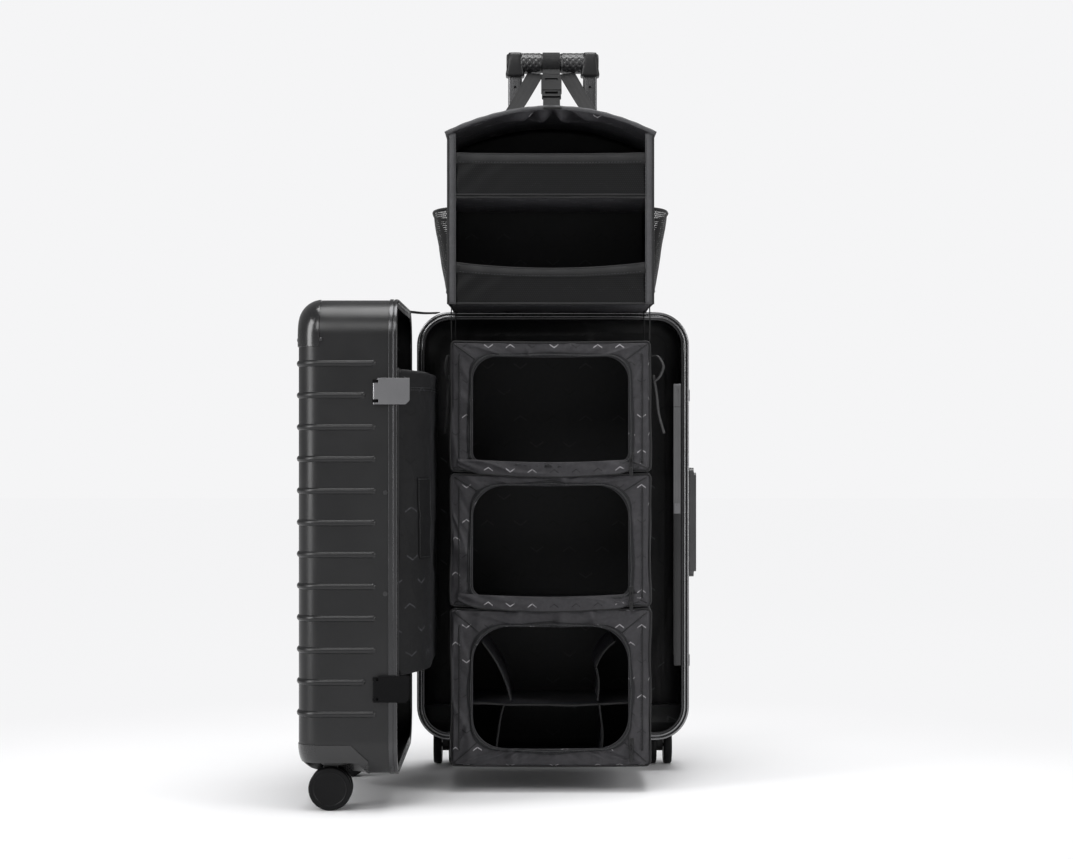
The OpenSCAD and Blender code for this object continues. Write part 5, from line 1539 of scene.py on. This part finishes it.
def lid_stay():
    """Thin webbing stay from the lining of one half to the other, on the turn between both."""
    lo, hi = span("lid_stay")
    a = np.array([lo[0] + 4 * MM, lo[1] + 4 * MM, hi[2] - 1 * MM])
    b = hi - mm(4, 4, 1)
    path = smooth_path([a, (a + b) / 2 + mm(1, -1, -1.2), b], 40)
    obj = ribbon("lid_stay_webbing", path, (1, -1, 0.3), 9, 1.2)
    obj.data.materials.append(WEBBING)
    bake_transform(obj)
    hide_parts("lid_stay")


# Grip

def grip():
    """Satin core and end brackets, with two dimpled sleeves between them.

    A sleeve's radius is 15.05 mm less 0.7 mm in the dimples, which lie at the peaks of cos(a) cos(b).
    """
    dress(cad_copy("grip_handle", "grip_core", 0.6), GRIP, ABS, "grip", "grip_handle")
    for side, x0, x1 in (("left", GRIP_LOW[0] + 16 * MM, STRAP_X - 14 * MM),
                         ("right", STRAP_X + 14 * MM, GRIP_HIGH[0] - 16 * MM)):
        gx, ga = grid(x0 + (x1 - x0) * np.linspace(0, 1, 110), np.linspace(0, math.tau, 144, endpoint=False))
        peaks = np.cos((gx - x0) / (4.4 * MM) * math.pi) * np.cos(ga * 10)
        dent = np.clip(peaks * 1.15, 0, 1) ** 1.2
        fade = np.clip(np.minimum(gx - x0, x1 - gx) / (2.5 * MM), 0, 1)
        r = (15.05 - 0.7 * dent * fade - 0.9 * (1 - fade)) * MM
        p = stack(gx, GRIP_Y + r * np.sin(ga), GRIP_Z + r * np.cos(ga))
        dress(surface(side + "_grip_sleeve", p, close_v=True, cap=True), GRIP, GRIP_SKIN, "grip")


def grip_brackets():
    """End brackets: each section down a post is a rounded rectangle that swells, then steps in."""
    # Height over the grip's axis and half sizes across and deep, in mm
    levels = ((14.6, 8.0, 11.0), (14.2, 9.2, 12.6), (11.0, 10.0, 14.2), (4.0, 10.6, 14.9),
              (-4.0, 11.4, 15.1), (-11.0, 12.6, 14.6), (-16.5, 13.6, 14.0), (-19.0, 13.4, 13.6),
              (-20.2, 12.2, 12.4), (-20.4, 10.8, 11.0))
    for side, x in (("left", GRIP_LOW[0] + 12.5 * MM), ("right", GRIP_HIGH[0] - 12.5 * MM)):
        rows = []
        for height, half_x, half_y in levels:
            at, _ = rounded((x, GRIP_Y), half_x * MM, half_y * MM, [4.5 * MM] * 4, 7, 3)
            rows.append(stack(at[:, 0], at[:, 1], GRIP_Z + height * MM))
        dress(surface(side + "_grip_bracket", np.array(rows), close_v=True, cap=True), GRIP, ABS, "grip")


# Casters and wheels

def revolve(name, profile, centre, axis_dir, up_dir, count=72):
    """A profile of (radius, along) pairs turned about an axis through centre."""
    axis, up = np.array(axis_dir, dtype=float), np.array(up_dir, dtype=float)
    a = np.linspace(0, math.tau, count, endpoint=False)[:, None]
    ring = np.cos(a) * up + np.sin(a) * np.cross(axis, up)
    p = np.array([centre + axis * way + ring * r for r, way in profile])
    return surface(name, p, close_v=True, cap=True)


def casters():
    """Twin wheels on each caster: a soft tread round a plain hub with a shallow dish and two rings."""
    for key in ("back_left", "back_right", "front_near", "front_far"):
        fork, wheels = key + "_caster", key + "_wheels"
        dress(cad_copy(fork, fork + "_finished", 0.7), fork + "_body", ABS, "dark_plastic", fork)
        lo, hi = span(wheels)
        centre = (lo + hi) / 2
        radius = (hi[2] - lo[2]) / 2 / MM
        axis = np.array([1.0, 0, 0]) if hi[0] - lo[0] < hi[1] - lo[1] - 1 * MM else np.array([0, 1.0, 0])
        half = abs(float((hi - lo) @ axis)) / 2
        # Profiles as (radius, along) in mm: the tread by its inset below the rim, the hub from the axle out
        tread = [(radius - d, t) for d, t in ((5.2, -5.4), (2.4, -5.9), (1.1, -5.3), (0.25, -3.8), (0, -2.2),
                                              (0, 2.2), (0.25, 3.8), (1.1, 5.3), (2.4, 5.9), (5.2, 5.4))]
        hub = [(0.05, -5.0), (5.0, -5.0), (radius - 5.3, -5.0), (radius - 5.3, 5.2), (radius - 5.7, 5.75),
               (radius - 6.8, 5.8), (radius - 7.6, 5.2), (radius - 8.2, 3.6), (15.5, 3.2), (14.8, 4.4),
               (13.6, 4.6), (12.8, 3.2), (6.2, 2.9), (5.6, 4.6), (4.6, 5.3), (0.05, 5.4)]
        treads, hubs = [], []
        for s in (-1, 1):
            mid = centre + axis * s * (half - 6 * MM)
            treads.append(revolve("tread", mm(*tread), mid, axis, (0, 0, 1)))
            hubs.append(revolve("hub", mm(*hub) * [1, s], mid, axis, (0, 0, 1)))
        a = half - 3 * MM
        axle = [(0.3 * MM, -a), (3 * MM, -a), (3 * MM, a), (0.3 * MM, a)]
        hubs.append(revolve("axle", axle, centre, axis, (0, 0, 1), 24))
        body = wheels[:-1] + "_body"
        dress(crease(join(key + "_treads", treads), 40), body, TREAD, "tread", wheels)
        dress(crease(join(key + "_hubs", hubs), 30), body, HUB, "dark_plastic")


# Studio

BACKDROP = "#f5f5f6"


def floor_finish():
    """Matt white floor that keeps the near shadow and turns to the backdrop's white 0.3 to 1.15 m out."""
    mat, tree, shader = start("matt white floor", roughness=0.9, specular_ior_level=0.1)
    xyz = object_coords(tree)
    wire(tree, shader, base_color=mix(tree, grain(tree, xyz, 400, 2), "#f1f1f2", "#f5f5f6"))
    near = add(tree, "ShaderNodeMapping", {0: xyz, 1: (0.08, 0.13, 0)}).outputs[0]
    away = add(tree, "ShaderNodeVectorMath", {0: near}, operation="LENGTH").outputs["Value"]
    rays = add(tree, "ShaderNodeLightPath").outputs
    seen = calc(tree, "MAXIMUM", rays["Is Camera Ray"], rays["Is Glossy Ray"])
    seen = calc(tree, "MAXIMUM", seen, rays["Is Transmission Ray"])
    far = calc(tree, "SMOOTH_MIN", remap(tree, away, 0.30, 1.15, 0, 1), 1.0, 0.1)
    glow = add(tree, "ShaderNodeEmission", {0: linear(BACKDROP), 1: 1.0})
    both = add(tree, "ShaderNodeMixShader",
               {0: times(tree, seen, far), 1: shader.outputs[0], 2: glow.outputs[0]})
    tree.links.new(both.outputs[0], tree.nodes["Material Output"].inputs[0])
    return mat


def studio():
    """A pale floor that keeps the shadow, a bright world, and five softboxes."""
    size = 14.0
    floor = new_object("floor", [(-size, -size, 0), (size, -size, 0), (size, size, 0), (-size, size, 0)],
                       [(0, 1, 2, 3)], smooth=False)
    floor.data.materials.append(floor_finish())
    world = bpy.data.worlds.new("studio")
    bpy.context.scene.world = world
    world.use_nodes = True
    tree = world.node_tree
    back = tree.nodes["Background"]
    rays = add(tree, "ShaderNodeLightPath").outputs
    back.inputs[0].default_value = linear(BACKDROP)
    tree.links.new(remap(tree, rays["Is Camera Ray"], 0, 1, 0.31, 1.0), back.inputs[1])
    # Name, place, aim, width and height in metres, and watts
    boxes = (
        ("tall left softbox", (-2.3, -1.6, 1.3), (-0.2, -0.2, 0.45), (0.9, 2.4), 48),
        ("key softbox", (-0.9, -2.9, 2.3), (0, -0.1, 0.5), (1.4, 1.2), 24),
        ("overhead softbox", (0.1, -0.3, 2.7), (0, -0.1, 0.5), (1.8, 1.4), 52),
        ("right softbox", (2.4, -1.8, 1.2), (0, -0.1, 0.45), (0.8, 2.0), 26),
        ("rear softbox", (0.6, 2.6, 1.8), (0, 0, 0.5), (1.6, 1.4), 18),
    )
    for name, place, aim, area, power in boxes:
        lamp = bpy.data.lights.new(name, "AREA")
        lamp.shape = "RECTANGLE"
        lamp.size, lamp.size_y = area
        lamp.energy = power
        obj = link(name, lamp)
        obj.location = place
        obj.rotation_euler = (Vector(aim) - Vector(place)).to_track_quat("-Z", "Y").to_euler()


def camera():
    """The photograph's place: level, 3.52 m in front, with a lens that sets the frame."""
    frame_w, focal_px = 1073, 2503
    lens = bpy.data.cameras.new("camera")
    lens.sensor_fit = "HORIZONTAL"
    lens.sensor_width = 36.0
    lens.lens = focal_px / frame_w * lens.sensor_width
    obj = link("camera", lens)
    obj.location = (-0.0232, -3.523, 0.481)
    obj.rotation_euler = (math.pi / 2, 0, 0)
    bpy.context.scene.camera = obj
    bpy.context.scene.view_settings.view_transform = "Standard"


shells()
rim_frames()
linings()
block_covers()
wheel_housings()
guard_screws()
hard_parts()
lock_details()
cubes()
zip_pulls()
roof()
side_panels()
rear_cloth()
shelves()
front_mesh("upper_mesh", 1.5, 91)
front_mesh("lower_mesh", 8.0, 95)
side_pockets()
hanger()
cube_straps()
dividers()
padded_divider()
lid_stay()
grip()
grip_brackets()
casters()
studio()
camera()
bpy.context.view_layer.update()
